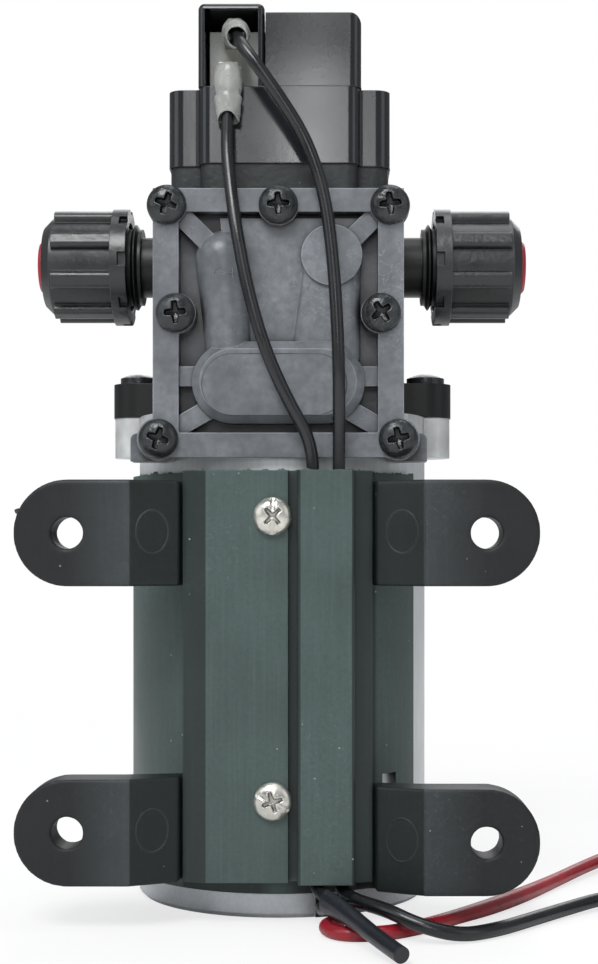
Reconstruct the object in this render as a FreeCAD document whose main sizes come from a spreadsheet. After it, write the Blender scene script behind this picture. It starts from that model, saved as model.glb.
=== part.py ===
import FreeCAD, Part
import Sketcher
import math
import os
import re

# Small 12 V diaphragm pump on its motor, with a pressure switch on top.
# Millimetres. +Z is the motor axis, from the motor's end cap up to the pump head.
# -Y is the side of the mounting feet, +X is right as seen from there.
# The origin is the centre of the end cap's outer face, on which the part stands.

Vector = FreeCAD.Vector
Rotation = FreeCAD.Rotation

doc = FreeCAD.newDocument("DiaphragmPump")

SIZES = {
    # motor
    "can_radius": 26.5,
    "can_wall": 1.2,
    "can_length": 75.85,
    "cap_height": 4.3,
    "cap_plate": 1.0,
    "cap_rim": 4.5,
    "cap_edge": 0.8,
    "spigot_depth": 2.0,
    "spigot_wall": 2.6,
    "fit_gap": 0.05,
    "running_gap": 0.04,
    "seat_gap": 0.02,
    "shaft_radius": 2.5,
    "shaft_floor": 0.6,
    "rear_bearing_radius": 6.5,
    "rear_bearing_height": 4.0,
    "rear_bearing_wall": 1.8,
    "rear_bearing_floor": 1.0,
    "magnet_depth": 4.9,
    "magnet_low": 19.0,
    "magnet_length": 49.0,
    "magnet_angle": 130.0,
    "air_gap": 0.7,
    "stack_low": 26.0,
    "stack_length": 34.0,
    "slot_count": 7,
    "slot_width": 3.0,
    "slot_floor": 8.0,
    "winding_radius": 16.5,
    "winding_overhang": 6.5,
    "commutator_radius": 6.5,
    "commutator_length": 6.0,
    "commutator_gap": 0.6,
    "brush_gap": 0.3,
    "brush_length": 7.6,
    "brush_half_width": 2.5,
    "brush_height": 4.0,
    "holder_plate": 2.0,
    "holder_rise": 0.7,
    "holder_hole": 9.2,
    "holder_wall": 1.2,
    "holder_reach": 22.2,
    "holder_start": 9.0,
    "brush_spring_radius": 1.8,
    # leads of the motor, through a notch in the end cap
    "lead_radius": 1.25,
    "lead_height": 1.9,
    "lead_black_across": 7.8,
    "lead_red_across": 11.6,
    "notch_height": 3.8,
    "notch_margin": 1.6,
    "cap_notch_depth": 4.0,
    "pigtail_radius": 1.1,
    "pigtail_turn": 14.0,
    # drive flange between motor and pump
    "flange_height": 7.35,
    "flange_disc": 1.5,
    "flange_half_depth": 13.8,
    "ear_offset": 26.7,
    "ear_radius": 4.5,
    "ear_height": 6.3,
    "axial_shank": 1.6,
    "axial_head": 3.5,
    "axial_head_height": 2.1,
    "axial_depth": 5.0,
    "front_bearing_radius": 8.0,
    "front_bearing_height": 5.0,
    # pump body
    "body_half_width": 21.2,
    "body_half_depth": 14.0,
    "body_height": 38.0,
    "crank_rise": 10.5,
    "crank_space_radius": 12.5,
    "crank_space_height": 17.5,
    "diaphragm_bore": 11.5,
    "port_rise": 28.3,
    "port_bore": 4.3,
    "port_depth": 7.0,
    "passage_across": 10.0,
    "passage_radius": 2.8,
    "stub_radius": 5.55,
    "thread_start": 25.9,
    "thread_end": 38.2,
    "thread_root": 7.05,
    "thread_crest": 7.9,
    "thread_pitch": 2.0,
    "thread_run_in": 0.2,
    "thread_flat": 0.1,
    "thread_land": 0.4,
    # crank and yoke
    "throw": 1.2,
    "crank_radius": 5.0,
    "crank_height": 6.4,
    "counterweight_radius": 9.5,
    "counterweight_height": 3.6,
    "counterweight_rise": 2.0,
    "crank_bearing_radius": 8.0,
    "crank_bearing_height": 5.0,
    "yoke_wall": 2.2,
    "yoke_height": 7.0,
    "rod_half_width": 3.5,
    "piston_radius": 7.1,
    "piston_low": 13.2,
    "piston_thickness": 2.2,
    "piston_screw_radius": 2.2,
    "piston_screw_height": 0.8,
    # stack of diaphragm, valve plate and cover on each side of the body
    "stack_half_width": 21.4,
    "stack_low_rise": 1.8,
    "stack_top_drop": 0.7,
    "diaphragm_thickness": 1.6,
    "membrane_hole": 8.6,
    "plate_thickness": 4.0,
    "pumping_radius": 10.5,
    "pumping_depth": 2.2,
    "valve_across": 5.0,
    "valve_drop": 4.4,
    "valve_radius": 3.0,
    "valve_thickness": 0.7,
    "valve_stem": 0.9,
    "valve_bulb": 1.3,
    "seal_width": 1.4,
    "seal_depth": 1.0,
    "seal_inset": 1.9,
    "cover_slab": 4.8,
    "rim_height": 3.6,
    "rim_width": 4.4,
    "plateau_height": 2.3,
    "lip_depth": 1.2,
    "lip_drop": 3.0,
    # chamber, tubes and ribs on the covers
    "chamber_half_width": 14.7,
    "chamber_radius": 7.0,
    "chamber_rise": 10.0,
    "chamber_proud": 1.3,
    "chamber_bevel": 1.4,
    "chamber_wall": 1.9,
    "chamber_split": 1.4,
    "tube_across": -9.6,
    "tube_foot_across": -8.3,
    "tube_rise": 25.8,
    "tube_radius": 4.7,
    "tube_foot_radius": 4.0,
    "tube_axis_rise": 0.6,
    "disc_across": 9.1,
    "disc_rise": 25.9,
    "disc_radius": 5.2,
    "disc_proud": 3.8,
    "side_tube_lean": 1.2,
    "side_tube_foot": 6.0,
    "side_tube_head": 4.9,
    "side_tube_height": 3.3,
    "side_tube_round": 1.8,
    "rib_width": 3.4,
    "rib_height": 3.0,
    # screws of the covers
    "cover_head": 3.35,
    "cover_head_side": 0.9,
    "cover_head_dome": 1.3,
    "cover_shank": 1.4,
    "cover_screw_depth": 6.0,
    "cross_width": 0.9,
    "cross_length": 3.6,
    "cross_depth": 1.3,
    "corner_boss": 3.7,
    "corner_pad": 5.1,
    "corner_pad_low": 3.7,
    "corner_pad_high": 1.1,
    "screw_top_across": 19.0,
    "screw_top_rise": 34.4,
    "screw_middle_across": 17.5,
    "screw_middle_rise": 16.0,
    "screw_low_across": 20.4,
    "screw_low_drop": 5.4,
    # pressure switch
    "base_height": 4.5,
    "housing_height": 13.3,
    "lobe_half_width": 13.9,
    "lobe_half_depth": 24.0,
    "side_half_width": 19.4,
    "side_half_depth": 21.2,
    "lobe_round": 2.6,
    "front_lobe_round": 1.9,
    "lobe_inner_round": 0.6,
    "cap_left": -2.35,
    "cap_right": 14.3,
    "switch_cap_height": 12.7,
    "cap_round": 2.0,
    "shroud_left": -14.0,
    "shroud_right": -2.45,
    "shroud_height": 14.5,
    "shroud_wall": 1.15,
    "shroud_half_depth": 24.0,
    "shroud_back": 14.0,
    "sensor_radius": 9.0,
    "sensor_thickness": 1.3,
    "plunger_radius": 5.0,
    "plunger_plate": 2.0,
    "plunger_stem": 2.4,
    "plunger_stroke": 0.8,
    "plunger_gap": 0.3,
    "spring_space": 6.9,
    "switch_spring_outer": 4.4,
    "switch_spring_inner": 3.2,
    "spring_seat_height": 2.8,
    "micro_left": -12.4,
    "micro_right": 12.2,
    "micro_front": -17.0,
    "micro_back": 2.4,
    "micro_rise": 1.2,
    "micro_height": 10.2,
    "button_radius": 1.5,
    "blade_width": 3.2,
    "blade_thickness": 0.6,
    "upper_blade_across": -8.1,
    "upper_blade_rise": 8.6,
    "upper_blade_end": 21.0,
    "lower_blade_across": -8.6,
    "lower_blade_rise": 3.0,
    "lower_blade_end": 1.6,
    "lower_blade_front": 26.5,
    "sleeve_radius": 2.4,
    "sleeve_mouth": 2.75,
    "sleeve_bore": 1.8,
    "sleeve_length": 10.0,
    "upper_sleeve_start": 17.4,
    # union nuts and dust plugs on the ports
    "nut_start": 28.2,
    "nut_flange": 10.75,
    "nut_flange_length": 2.9,
    "nut_radius": 9.0,
    "nut_end": 44.0,
    "nut_wall_end": 3.0,
    "nut_round": 1.6,
    "nut_rib_radius": 10.4,
    "nut_rib_end": 41.9,
    "nut_rib_width": 3.2,
    "nut_ribs": 8,
    "nut_thread_gap": 0.25,
    "nut_rib_root": 1.4,
    "notch_width": 2.4,
    "notch_depth": 0.9,
    "plug_radius": 4.95,
    "plug_gap": 0.3,
    "plug_end": 45.0,
    "plug_disc": 7.2,
    "plug_disc_start": 38.5,
    "plug_disc_thickness": 2.0,
    "plug_spigot": 4.1,
    "plug_spigot_length": 5.0,
    "plug_lead_in": 0.5,
    "screw_tip_room": 0.3,
    "pad_step": 0.2,
    "wire_gap": 0.2,
    "shaft_room_gap": 0.7,
    "saddle_floor_gap": 0.2,
    "stem_gap": 0.3,
    "button_depth": 3.0,
    "button_spare": 0.4,
    "sleeve_taper": 0.4,
    "sleeve_shift": 0.3,
    "flow_depth": 0.6,
    "way_radius": 1.7,
    "plateau_left": 10.0,
    "plateau_right": 14.2,
    "plateau_low_left": 7.5,
    "plateau_low_right": 5.5,
    "plateau_shoulder": 8.5,
    "plateau_start": 2.0,
    "plateau_step": 9.0,
    "plateau_shoulder_rise": 24.0,
    "plateau_margin": 0.9,
    "rib_top_in": 11.5,
    "rib_top_out": 17.6,
    "rib_top_in_drop": 9.6,
    "rib_top_out_drop": 3.6,
    "rib_low_in": 12.0,
    "rib_low_out": 17.8,
    "rib_low_in_drop": 4.6,
    "rib_low_out_rise": 1.8,
    "rib_level_low": 0.6,
    "rib_level_top": 2.8,
    "rim_top_shift": 0.4,
    "rim_low_rise": 1.2,
    # base with rail and duct
    "saddle_gap": 0.1,
    "saddle_wall": 1.1,
    "saddle_drop": 3.65,
    "saddle_left": 86.0,
    "saddle_right": 59.0,
    "rail_low": 7.5,
    "rail_half_width": 15.9,
    "rail_rise": 7.0,
    "rail_flange": 2.6,
    "rail_bevel": 3.9,
    "rail_bevel_depth": 1.3,
    "neck_half_width": 12.9,
    "duct_left": 3.4,
    "duct_right": 12.9,
    "duct_proud": 2.0,
    "duct_wall": 1.2,
    "duct_floor_rise": 1.8,
    "groove_left": 1.8,
    "groove_depth": 1.6,
    "vent_across": 19.15,
    "vent_height": 22.9,
    "vent_size": 2.4,
    "base_screw_across": -0.8,
    "base_screw_drop": 11.35,
    "base_screw_low": 21.2,
    "base_screw_head": 3.2,
    "base_screw_shank": 1.4,
    "base_screw_length": 7.6,
    # feet
    "foot_hole_across": 34.7,
    "foot_hole": 2.65,
    "foot_half_width": 8.85,
    "foot_rise": 10.5,
    "foot_thickness": 7.4,
    "foot_bend": 24.4,
    "foot_slope_rise": 6.8,
    "tongue_inner": 13.1,
    "tongue_thickness": 2.4,
    "slot_gap": 0.2,
    "foot_high_drop": 14.15,
    "foot_low_left": 16.4,
    "foot_low_right": 14.8,
    # switch leads and the splice
    "switch_lead_radius": 1.08,
    "duct_lead_left": 5.9,
    "duct_lead_right": 10.3,
    "duct_lead_rise": 4.5,
    "lead_bend_start": 3.2,
    "splice_radius": 1.35,
    "splice_mouth": 2.4,
    "splice_flare": 5.0,
    # coils of the supply leads
    "coil_radius": 15.0,
    "coil_step": 0.75,
    "coil_quarters": 8,
    "tie_wall": 0.6,
    "tie_width": 3.0,
}

sheet = doc.addObject("Spreadsheet::Sheet", "Sizes")
for row, (alias, number) in enumerate(SIZES.items(), start=1):
    sheet.set(f"A{row}", alias)
    sheet.set(f"B{row}", str(number))
    sheet.setAlias(f"B{row}", alias)
doc.recompute()

# Heights and depths that several pieces share, as sums of the sizes above.
CAN_TOP = "(cap_height + can_length)"
CAN_INNER = "(can_radius - can_wall)"
FLANGE_TOP = f"({CAN_TOP} + flange_height)"
CRANK_Z = f"({FLANGE_TOP} + crank_rise)"
BODY_TOP = f"({FLANGE_TOP} + body_height)"
PORT_Z = f"({FLANGE_TOP} + port_rise)"
BASE_TOP = f"({BODY_TOP} + base_height)"
HOUSING_TOP = f"({BASE_TOP} + housing_height)"
SHROUD_TOP = f"({HOUSING_TOP} + shroud_height)"
STACK_LOW = f"({CAN_TOP} + stack_low_rise)"
STACK_TOP = f"({BODY_TOP} - stack_top_drop)"
RUBBER_FACE = "(body_half_depth + diaphragm_thickness)"
PLATE_FACE = f"({RUBBER_FACE} + plate_thickness)"
COVER_FLOOR = f"({PLATE_FACE} + cover_slab)"
RIM_FACE = f"({COVER_FLOOR} + rim_height)"
CHAMBER_FACE = f"({RIM_FACE} + chamber_proud)"
CHAMBER_Z = f"({STACK_LOW} + chamber_rise - 0.25)"
VALVE_Z = f"({CRANK_Z} - valve_drop)"
# The base and its feet keep their distances to the can's top and surface.
LENGTHS = {
    "cap_recess_radius": "(can_radius - cap_rim)",
    "saddle_top": "(cap_height + can_length - saddle_drop)",
    "base_screw_high": "(cap_height + can_length - base_screw_drop)",
    "foot_high": "(cap_height + can_length - foot_high_drop)",
    "rail_face": "(can_radius + rail_rise)",
    "duct_floor": "(can_radius + duct_floor_rise)",
    "foot_face": "(can_radius + foot_rise)",
    "foot_slope_face": "(can_radius + foot_slope_rise)",
    "duct_lead_back": "(can_radius + duct_lead_rise)",
}
COVER_SCREWS = (
    ("-screw_top_across", f"{FLANGE_TOP} + screw_top_rise"),
    ("0", f"{FLANGE_TOP} + screw_top_rise"),
    ("screw_top_across", f"{FLANGE_TOP} + screw_top_rise"),
    ("-screw_middle_across", f"{FLANGE_TOP} + screw_middle_rise"),
    ("screw_middle_across", f"{FLANGE_TOP} + screw_middle_rise"),
    ("-screw_low_across", f"{FLANGE_TOP} - screw_low_drop"),
    ("screw_low_across", f"{FLANGE_TOP} - screw_low_drop"),
)

pieces = []


def bound(text):
    """The expression with each size's name looked up in the sheet."""
    written = re.sub(r"[a-z_]+", lambda word: LENGTHS.get(word[0], word[0]), str(text))
    return re.sub(r"[a-z_]+", lambda word: f"Sizes.{word[0]}" if word[0] in SIZES else word[0], written)


def number(text):
    """What an expression of sizes comes to, as a plain number."""
    return float(sheet.evalExpression(bound(text)))


def tie(item, prop, text):
    """Bind one property of an object to an expression of sizes."""
    item.setExpression(prop, bound(text))


def block(name, x, y, z):
    """A box between two expressions along each axis."""
    box = doc.addObject("Part::Box", name)
    for axis, side, (low, high) in zip("xyz", ("Length", "Width", "Height"), (x, y, z)):
        tie(box, side, f"({high}) - ({low})")
        tie(box, f"Placement.Base.{axis}", low)
    return box


TURNS = {
    "x": (Vector(0, 1, 0), 90, "yz"),
    "y": (Vector(1, 0, 0), -90, "xz"),
    "z": (Vector(0, 0, 1), 0, "xy"),
}


def stand(item, axis, low, at):
    """Turn a piece made along Z to lie along an axis, starting at low."""
    about, angle, others = TURNS[axis]
    item.Placement = FreeCAD.Placement(Vector(0, 0, 0), Rotation(about, angle))
    tie(item, f"Placement.Base.{axis}", low)
    for other, place in zip(others, at):
        tie(item, f"Placement.Base.{other}", place)
    return item


def rod(name, axis, radius, low, high, at=("0", "0")):
    """A cylinder along an axis."""
    cylinder = doc.addObject("Part::Cylinder", name)
    tie(cylinder, "Radius", radius)
    tie(cylinder, "Height", f"({high}) - ({low})")
    return stand(cylinder, axis, low, at)


def taper(name, axis, first, second, low, high, at=("0", "0")):
    """A cone along an axis, from its first radius to its second."""
    cone = doc.addObject("Part::Cone", name)
    tie(cone, "Radius1", first)
    tie(cone, "Radius2", second)
    tie(cone, "Height", f"({high}) - ({low})")
    return stand(cone, axis, low, at)


def joined(name, items):
    """One solid of several that overlap or touch."""
    fuse = doc.addObject("Part::MultiFuse", name)
    fuse.Shapes = list(items)
    return fuse


def group(name, items):
    """Several separate solids in one piece's file."""
    compound = doc.addObject("Part::Compound", name)
    compound.Links = list(items)
    return compound


def cut(name, base, tools):
    """A solid with one or more others taken out of it."""
    tools = list(tools)
    tool = tools[0] if len(tools) == 1 else joined(f"{name}_tools", tools)
    result = doc.addObject("Part::Cut", name)
    result.Base = base
    result.Tool = tool
    return result


def common(name, first, second):
    """What two solids share."""
    result = doc.addObject("Part::Common", name)
    result.Base = first
    result.Tool = second
    return result


def ring(name, axis, outer, inner, low, high, at=("0", "0")):
    """A tube along an axis."""
    core = rod(f"{name}_core", axis, inner, f"({low}) - 1", f"({high}) + 1", at)
    return cut(name, rod(f"{name}_body", axis, outer, low, high, at), [core])


def mirrored(name, source, normal):
    """The same piece on the other side of the origin."""
    copy = doc.addObject("Part::Mirroring", name)
    copy.Source = source
    copy.Normal = normal
    copy.Base = Vector(0, 0, 0)
    return copy


def both(name, front):
    """A front piece and the same piece at the rear, in one file."""
    return group(name, [front, mirrored(f"{name}_rear", front, Vector(0, 1, 0))])


def edges_where(shape, wanted):
    """The numbers of the edges that a test picks."""
    return [number_of for number_of, edge in enumerate(shape.Edges, start=1) if wanted(edge)]


def rounded(name, base, radius, wanted, kind="Part::Fillet"):
    """A solid with the picked edges rounded, or cut off if kind is a chamfer."""
    doc.recompute()
    result = doc.addObject(kind, name)
    result.Base = base
    size = number(radius)
    result.Edges = [(each, size, size) for each in edges_where(base.Shape, wanted)]
    return result


def runs_along(edge, axis):
    """Whether an edge is a straight line along an axis."""
    if edge.Curve.TypeId != "Part::GeomLine":
        return False
    direction = edge.tangentAt(edge.FirstParameter)
    return abs(abs(getattr(direction, axis)) - 1) < 1e-6


def lies_at(edge, axis, place):
    """Whether an edge lies in a plane square to an axis."""
    low = getattr(edge.BoundBox, f"{axis.upper()}Min")
    high = getattr(edge.BoundBox, f"{axis.upper()}Max")
    return abs(low - place) < 1e-4 and abs(high - place) < 1e-4


def sketch_of(body, role, points, shift):
    """A closed outline of straight lines in a body, each corner tied to the sizes."""
    plane = [each for each in body.Origin.OriginFeatures if each.Role == role][0]
    outline = body.newObject("Sketcher::SketchObject", f"{body.Name}_outline")
    outline.AttachmentSupport = [(plane, "")]
    outline.MapMode = "FlatFace"
    corners = [Vector(number(u), number(v), 0) for u, v in points]
    count = len(corners)
    for index in range(count):
        outline.addGeometry(Part.LineSegment(corners[index], corners[(index + 1) % count]), False)
    for index in range(count):
        outline.addConstraint(Sketcher.Constraint("Coincident", index, 2, (index + 1) % count, 1))
    for index, (u, v) in enumerate(points):
        for kind, text, start in (("DistanceX", u, corners[index].x), ("DistanceY", v, corners[index].y)):
            rule = outline.addConstraint(Sketcher.Constraint(kind, -1, 1, index, 1, start))
            outline.setExpression(f"Constraints[{rule}]", bound(text))
    for axis, text in zip("xyz", shift):
        tie(outline, f"AttachmentOffset.Base.{axis}", text)
    return outline


def prism(name, role, points, low, high):
    """A padded outline. On XZ_Plane it grows towards -Y, on YZ_Plane towards +X, on XY_Plane up."""
    body = doc.addObject("PartDesign::Body", name)
    pad = body.newObject("PartDesign::Pad", f"{name}_pad")
    pad.Profile = sketch_of(body, role, points, ("0", "0", low))
    tie(pad, "Length", f"({high}) - ({low})")
    body.Tip = pad
    return body


def turned(name, points, along, at=("0", "0")):
    """A turned solid. Its outline gives (along, radius) pairs, along X at y, z or along Z at x, y."""
    body = doc.addObject("PartDesign::Body", name)
    lathe = body.newObject("PartDesign::Revolution", f"{name}_turn")
    if along == "x":
        shift = ("0", at[1], f"-({at[0]})")
        outline = sketch_of(body, "XZ_Plane", points, shift)
        axis = "H_Axis"
    else:
        shift = (at[0], "0", f"-({at[1]})")
        outline = sketch_of(body, "XZ_Plane", [(radius, along_it) for along_it, radius in points], shift)
        axis = "V_Axis"
    lathe.Profile = outline
    lathe.ReferenceAxis = (outline, [axis])
    lathe.Angle = 360
    body.Tip = lathe
    return body


def keep(name, item):
    """Name a finished piece, which then gets a file of its own."""
    item.Label = name
    pieces.append(item)
    return item


def pan_screw(name, axis, toward, head, side, dome, shank, length, seat, at):
    """A pan-head screw. Its head sits at seat and points to the given side along the axis."""
    # The dome is the top of a sphere that meets the head's straight side.
    sphere = f"((({head})^2 + ({dome})^2) / (2 * ({dome})))"
    cap = doc.addObject("Part::Sphere", f"{name}_dome")
    tie(cap, "Radius", sphere)
    tie(cap, "Angle1", f"acos(({head}) / {sphere}) * 1")
    cap.Angle2 = 90
    tie(cap, "Placement.Base.z", f"({side}) + ({dome}) - {sphere}")
    half = "cross_length / 2"
    cross = [
        block(f"{name}_slot_{one}", (f"-({a})", a), (f"-({b})", b),
              (f"({side}) + ({dome}) - cross_depth", f"({side}) + ({dome}) + 1"))
        for one, a, b in (("one", half, "cross_width / 2"), ("two", "cross_width / 2", half))
    ]
    solid = joined(f"{name}_solid", [
        rod(f"{name}_side", "z", head, "0", side),
        cap,
        rod(f"{name}_shank", "z", shank, f"-({length})", "0"),
    ])
    screw = cut(name, solid, cross)
    about = {"z": 0, "y": -90, "x": 90}[axis] + (0 if toward > 0 else 180)
    turn = Vector(0, 1, 0) if axis == "x" else Vector(1, 0, 0)
    screw.Placement = FreeCAD.Placement(Vector(0, 0, 0), Rotation(turn, about))
    tie(screw, f"Placement.Base.{axis}", seat)
    for other, place in zip(TURNS[axis][2], at):
        tie(screw, f"Placement.Base.{other}", place)
    return screw


def route(points):
    """Straight runs joined by tangent arcs, with the radii of the arcs and the length."""
    spots = [Vector(*point) for point in points]
    edges = []
    radii = []
    start = spots[0]
    for before, corner, after in zip(spots, spots[1:], spots[2:]):
        into = (corner - before).normalize()
        away = (after - corner).normalize()
        half_turn = math.acos(max(-1.0, min(1.0, into.dot(away)))) / 2
        reach = 0.45 * min((corner - before).Length, (after - corner).Length)
        first = corner - into * reach
        last = corner + away * reach
        radius = reach / math.tan(half_turn)
        inward = (away - into).normalize()
        middle = corner + inward * (radius / math.cos(half_turn) - radius)
        edges.append(Part.LineSegment(start, first).toShape())
        edges.append(Part.Arc(first, middle, last).toShape())
        radii.append(radius)
        start = last
    edges.append(Part.LineSegment(start, spots[-1]).toShape())
    return edges, radii


def swept(name, edges, radius):
    """A round tube along joined edges, as a piece of the document."""
    path = Part.Wire(edges)
    first = edges[0]
    direction = first.tangentAt(first.FirstParameter)
    circle = Part.makeCircle(radius, first.valueAt(first.FirstParameter), direction)
    solid = path.makePipeShell([Part.Wire([circle])], True, False)
    solid = Part.Solid(solid) if solid.ShapeType != "Solid" else solid
    tube = doc.addObject("Part::Feature", name)
    tube.Shape = solid
    expected = math.pi * radius ** 2 * path.Length
    print(name, "length", round(path.Length, 1), "volume ratio", round(solid.Volume / expected, 4))
    return tube


def lead(name, points, radius):
    """A free stretch of lead along the points of its route."""
    edges, radii = route(points)
    print(name, "radii", [round(each, 1) for each in radii])
    return keep(name, swept(name, edges, radius))


def coil(name, start, heading, radius):
    """A flat coil that winds inwards, clockwise from above, in quarter turns. Gives its middle."""
    edges = []
    place = Vector(*start)
    angle = math.atan2(heading[1], heading[0])
    bend = number("coil_radius")
    middles = []
    for quarter in range(int(number("coil_quarters"))):
        centre = place + Vector(math.sin(angle), -math.cos(angle), 0) * bend
        middles.append(centre)
        out = place - centre
        middle = centre + Rotation(Vector(0, 0, 1), -45).multVec(out)
        end = centre + Rotation(Vector(0, 0, 1), -90).multVec(out)
        edges.append(Part.Arc(place, middle, end).toShape())
        place = end
        angle = angle - math.pi / 2
        bend = bend - number("coil_step")
    print(name, "least self gap", round(least_gap(edges) - 2 * radius, 2))
    keep(name, swept(name, edges, radius))
    return strands_beside(edges, middles[0])


def strands_beside(edges, middle):
    """Where a coil's centre line passes on the right of its middle: the inner and outer X, and Y."""
    spots = [edge.valueAt(edge.FirstParameter + (edge.LastParameter - edge.FirstParameter) * part / 40)
             for edge in edges for part in range(41)]
    beside = [spot.x for spot in spots if spot.x > middle.x and abs(spot.y - middle.y) < number("tie_width") / 2]
    return min(beside), max(beside), middle.y


def least_gap(edges):
    """The least distance between a coil's centre line and itself, one turn apart or more."""
    spots = [edge.valueAt(edge.FirstParameter + (edge.LastParameter - edge.FirstParameter) * part / 12)
             for edge in edges for part in range(12)]
    turn = 4 * 12
    return min((a - b).Length for index, a in enumerate(spots) for b in spots[index + turn - 6:])


# Motor: the can, a steel tube with holes for the two screws of the base.
base_screws_at = [("base_screw_across", "base_screw_high"), ("base_screw_across", "base_screw_low")]
can_tube = ring("can_tube", "z", "can_radius", CAN_INNER, "cap_height", CAN_TOP)
can_holes = [
    rod(f"can_hole_{index}", "y", "base_screw_shank + fit_gap", "-can_radius - 2", f"-{CAN_INNER} + 3", at)
    for index, at in enumerate(base_screws_at)
]
keep("motor_can", cut("motor_can", can_tube, can_holes))

# Motor end cap: a rim on the floor, a recessed plate, the boss of the rear bearing and a spigot.
PLATE_LOW = "(cap_height - cap_plate)"
REAR_SEAT = "(cap_height + rear_bearing_floor)"
BOSS_TOP = f"({REAR_SEAT} + rear_bearing_height)"
cap_disc = rod("cap_disc", "z", "can_radius", "0", "cap_height")
cap_chamfered = rounded("cap_chamfered", cap_disc, "cap_edge", lambda edge: lies_at(edge, "z", 0), "Part::Chamfer")
cap_spigot = ring("cap_spigot", "z", f"{CAN_INNER} - fit_gap", f"{CAN_INNER} - spigot_wall",
                  "cap_height - 0.5", "cap_height + spigot_depth")
BOSS_RADIUS = "(rear_bearing_radius + rear_bearing_wall)"
cap_boss = rod("cap_boss", "z", BOSS_RADIUS, "0", BOSS_TOP)
cap_solid = joined("cap_solid", [cap_chamfered, cap_spigot, cap_boss])
NOTCH = ("lead_black_across - notch_margin", "lead_red_across + notch_margin")
cap_cuts = [
    ring("cap_recess", "z", "cap_recess_radius", BOSS_RADIUS, "-1", PLATE_LOW),
    rod("cap_seat", "z", "rear_bearing_radius + seat_gap", REAR_SEAT, f"{BOSS_TOP} + 1"),
    rod("cap_shaft_room", "z", "shaft_radius + shaft_room_gap", "cap_height", f"{REAR_SEAT} + 1"),
    block("cap_notch", NOTCH, ("-can_radius - 1", "-cap_recess_radius + cap_notch_depth"), ("-1", "notch_height")),
]
for colour in ("black", "red"):
    cap_cuts.append(rod(f"cap_wire_hole_{colour}", "z", "pigtail_radius + wire_gap", "0",
                        "cap_height + 1",
                        (f"lead_{colour}_across", "-pigtail_turn")))
keep("motor_end_cap", cut("motor_end_cap", cap_solid, cap_cuts))

# Grommet in the notch, and the brush leads that come through it and rise to the brush holder.
HOLDER_LOW = f"({BOSS_TOP} + holder_rise)"
grommet_block = common("grommet_block", block(
    "grommet_box", (f"{NOTCH[0]} + fit_gap", f"{NOTCH[1]} - fit_gap"),
    ("-can_radius", "-cap_recess_radius + 1"), ("fit_gap", "notch_height - fit_gap")),
    rod("grommet_round", "z", "can_radius - 0.1", "0", "notch_height"))
grommet_bores = [
    rod(f"grommet_bore_{colour}", "y", "pigtail_radius + fit_gap", "-can_radius - 1", "-cap_recess_radius + 2",
        (f"lead_{colour}_across", "lead_height"))
    for colour in ("black", "red")
]
keep("lead_grommet", cut("lead_grommet", grommet_block, grommet_bores))
pigtails = []
for colour in ("black", "red"):
    across = f"lead_{colour}_across"
    elbow = doc.addObject("Part::Sphere", f"pigtail_{colour}_elbow")
    tie(elbow, "Radius", "pigtail_radius")
    tie(elbow, "Placement.Base.x", across)
    tie(elbow, "Placement.Base.y", "-pigtail_turn")
    tie(elbow, "Placement.Base.z", "lead_height")
    pigtails.append(joined(f"pigtail_{colour}", [
        rod(f"pigtail_{colour}_run", "y", "pigtail_radius", "-can_radius + 0.1", "-pigtail_turn",
            (across, "lead_height")),
        elbow,
        rod(f"pigtail_{colour}_rise", "z", "pigtail_radius", "lead_height", HOLDER_LOW,
            (across, "-pigtail_turn")),
    ]))
keep("brush_leads", group("brush_leads", pigtails))

# Bearings of the motor shaft.
keep("motor_bearings", group("motor_bearings", [
    ring("rear_bearing", "z", "rear_bearing_radius", "shaft_radius + running_gap", REAR_SEAT, BOSS_TOP),
    ring("front_bearing", "z", "front_bearing_radius", "shaft_radius + running_gap",
         f"{FLANGE_TOP} - front_bearing_height", f"{FLANGE_TOP} - fit_gap"),
]))

# Field magnets: two arcs inside the can, left and right.
magnet = doc.addObject("Part::Cylinder", "magnet_arc")
tie(magnet, "Radius", f"{CAN_INNER} - fit_gap")
tie(magnet, "Height", "magnet_length")
tie(magnet, "Angle", "magnet_angle")
tie(magnet, "Placement.Base.z", "magnet_low")
tie(magnet, "Placement.Rotation.Angle", "-magnet_angle / 2")
magnet_right = cut("magnet_right", magnet, [
    rod("magnet_bore", "z", f"{CAN_INNER} - fit_gap - magnet_depth", "magnet_low - 1",
        "magnet_low + magnet_length + 1")
])
keep("field_magnets", group("field_magnets", [
    magnet_right, mirrored("magnet_left", magnet_right, Vector(1, 0, 0))]))

# Brush gear: a ring with two boxes, a brush and a spring in each.
HOLDER_TOP = f"({HOLDER_LOW} + holder_plate)"
BRUSH_LOW = f"({HOLDER_TOP} + 1)"
BRUSH_TOP = f"({BRUSH_LOW} + brush_height)"
BRUSH_START = "(commutator_radius + brush_gap)"
BRUSH_END = f"({BRUSH_START} + brush_length)"
holder_box = block("holder_box", ("holder_start", "holder_reach"),
                   ("-brush_half_width - holder_wall", "brush_half_width + holder_wall"),
                   (f"{HOLDER_TOP} - 0.5", f"{BRUSH_TOP} + 1"))
holder_room = block("holder_room", ("holder_start - 1", "holder_reach - holder_wall"),
                    ("-brush_half_width - fit_gap", "brush_half_width + fit_gap"),
                    (f"{BRUSH_LOW} - fit_gap", f"{BRUSH_TOP} + fit_gap"))
holder_plate = ring("holder_plate_ring", "z", f"{CAN_INNER} - 2 * fit_gap", "holder_hole",
                    HOLDER_LOW, HOLDER_TOP)
holder_solid = joined("holder_solid", [
    holder_plate, holder_box, mirrored("holder_box_left", holder_box, Vector(1, 0, 0))])
keep("brush_holder", cut("brush_holder", holder_solid, [
    holder_room, mirrored("holder_room_left", holder_room, Vector(1, 0, 0))]))
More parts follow.
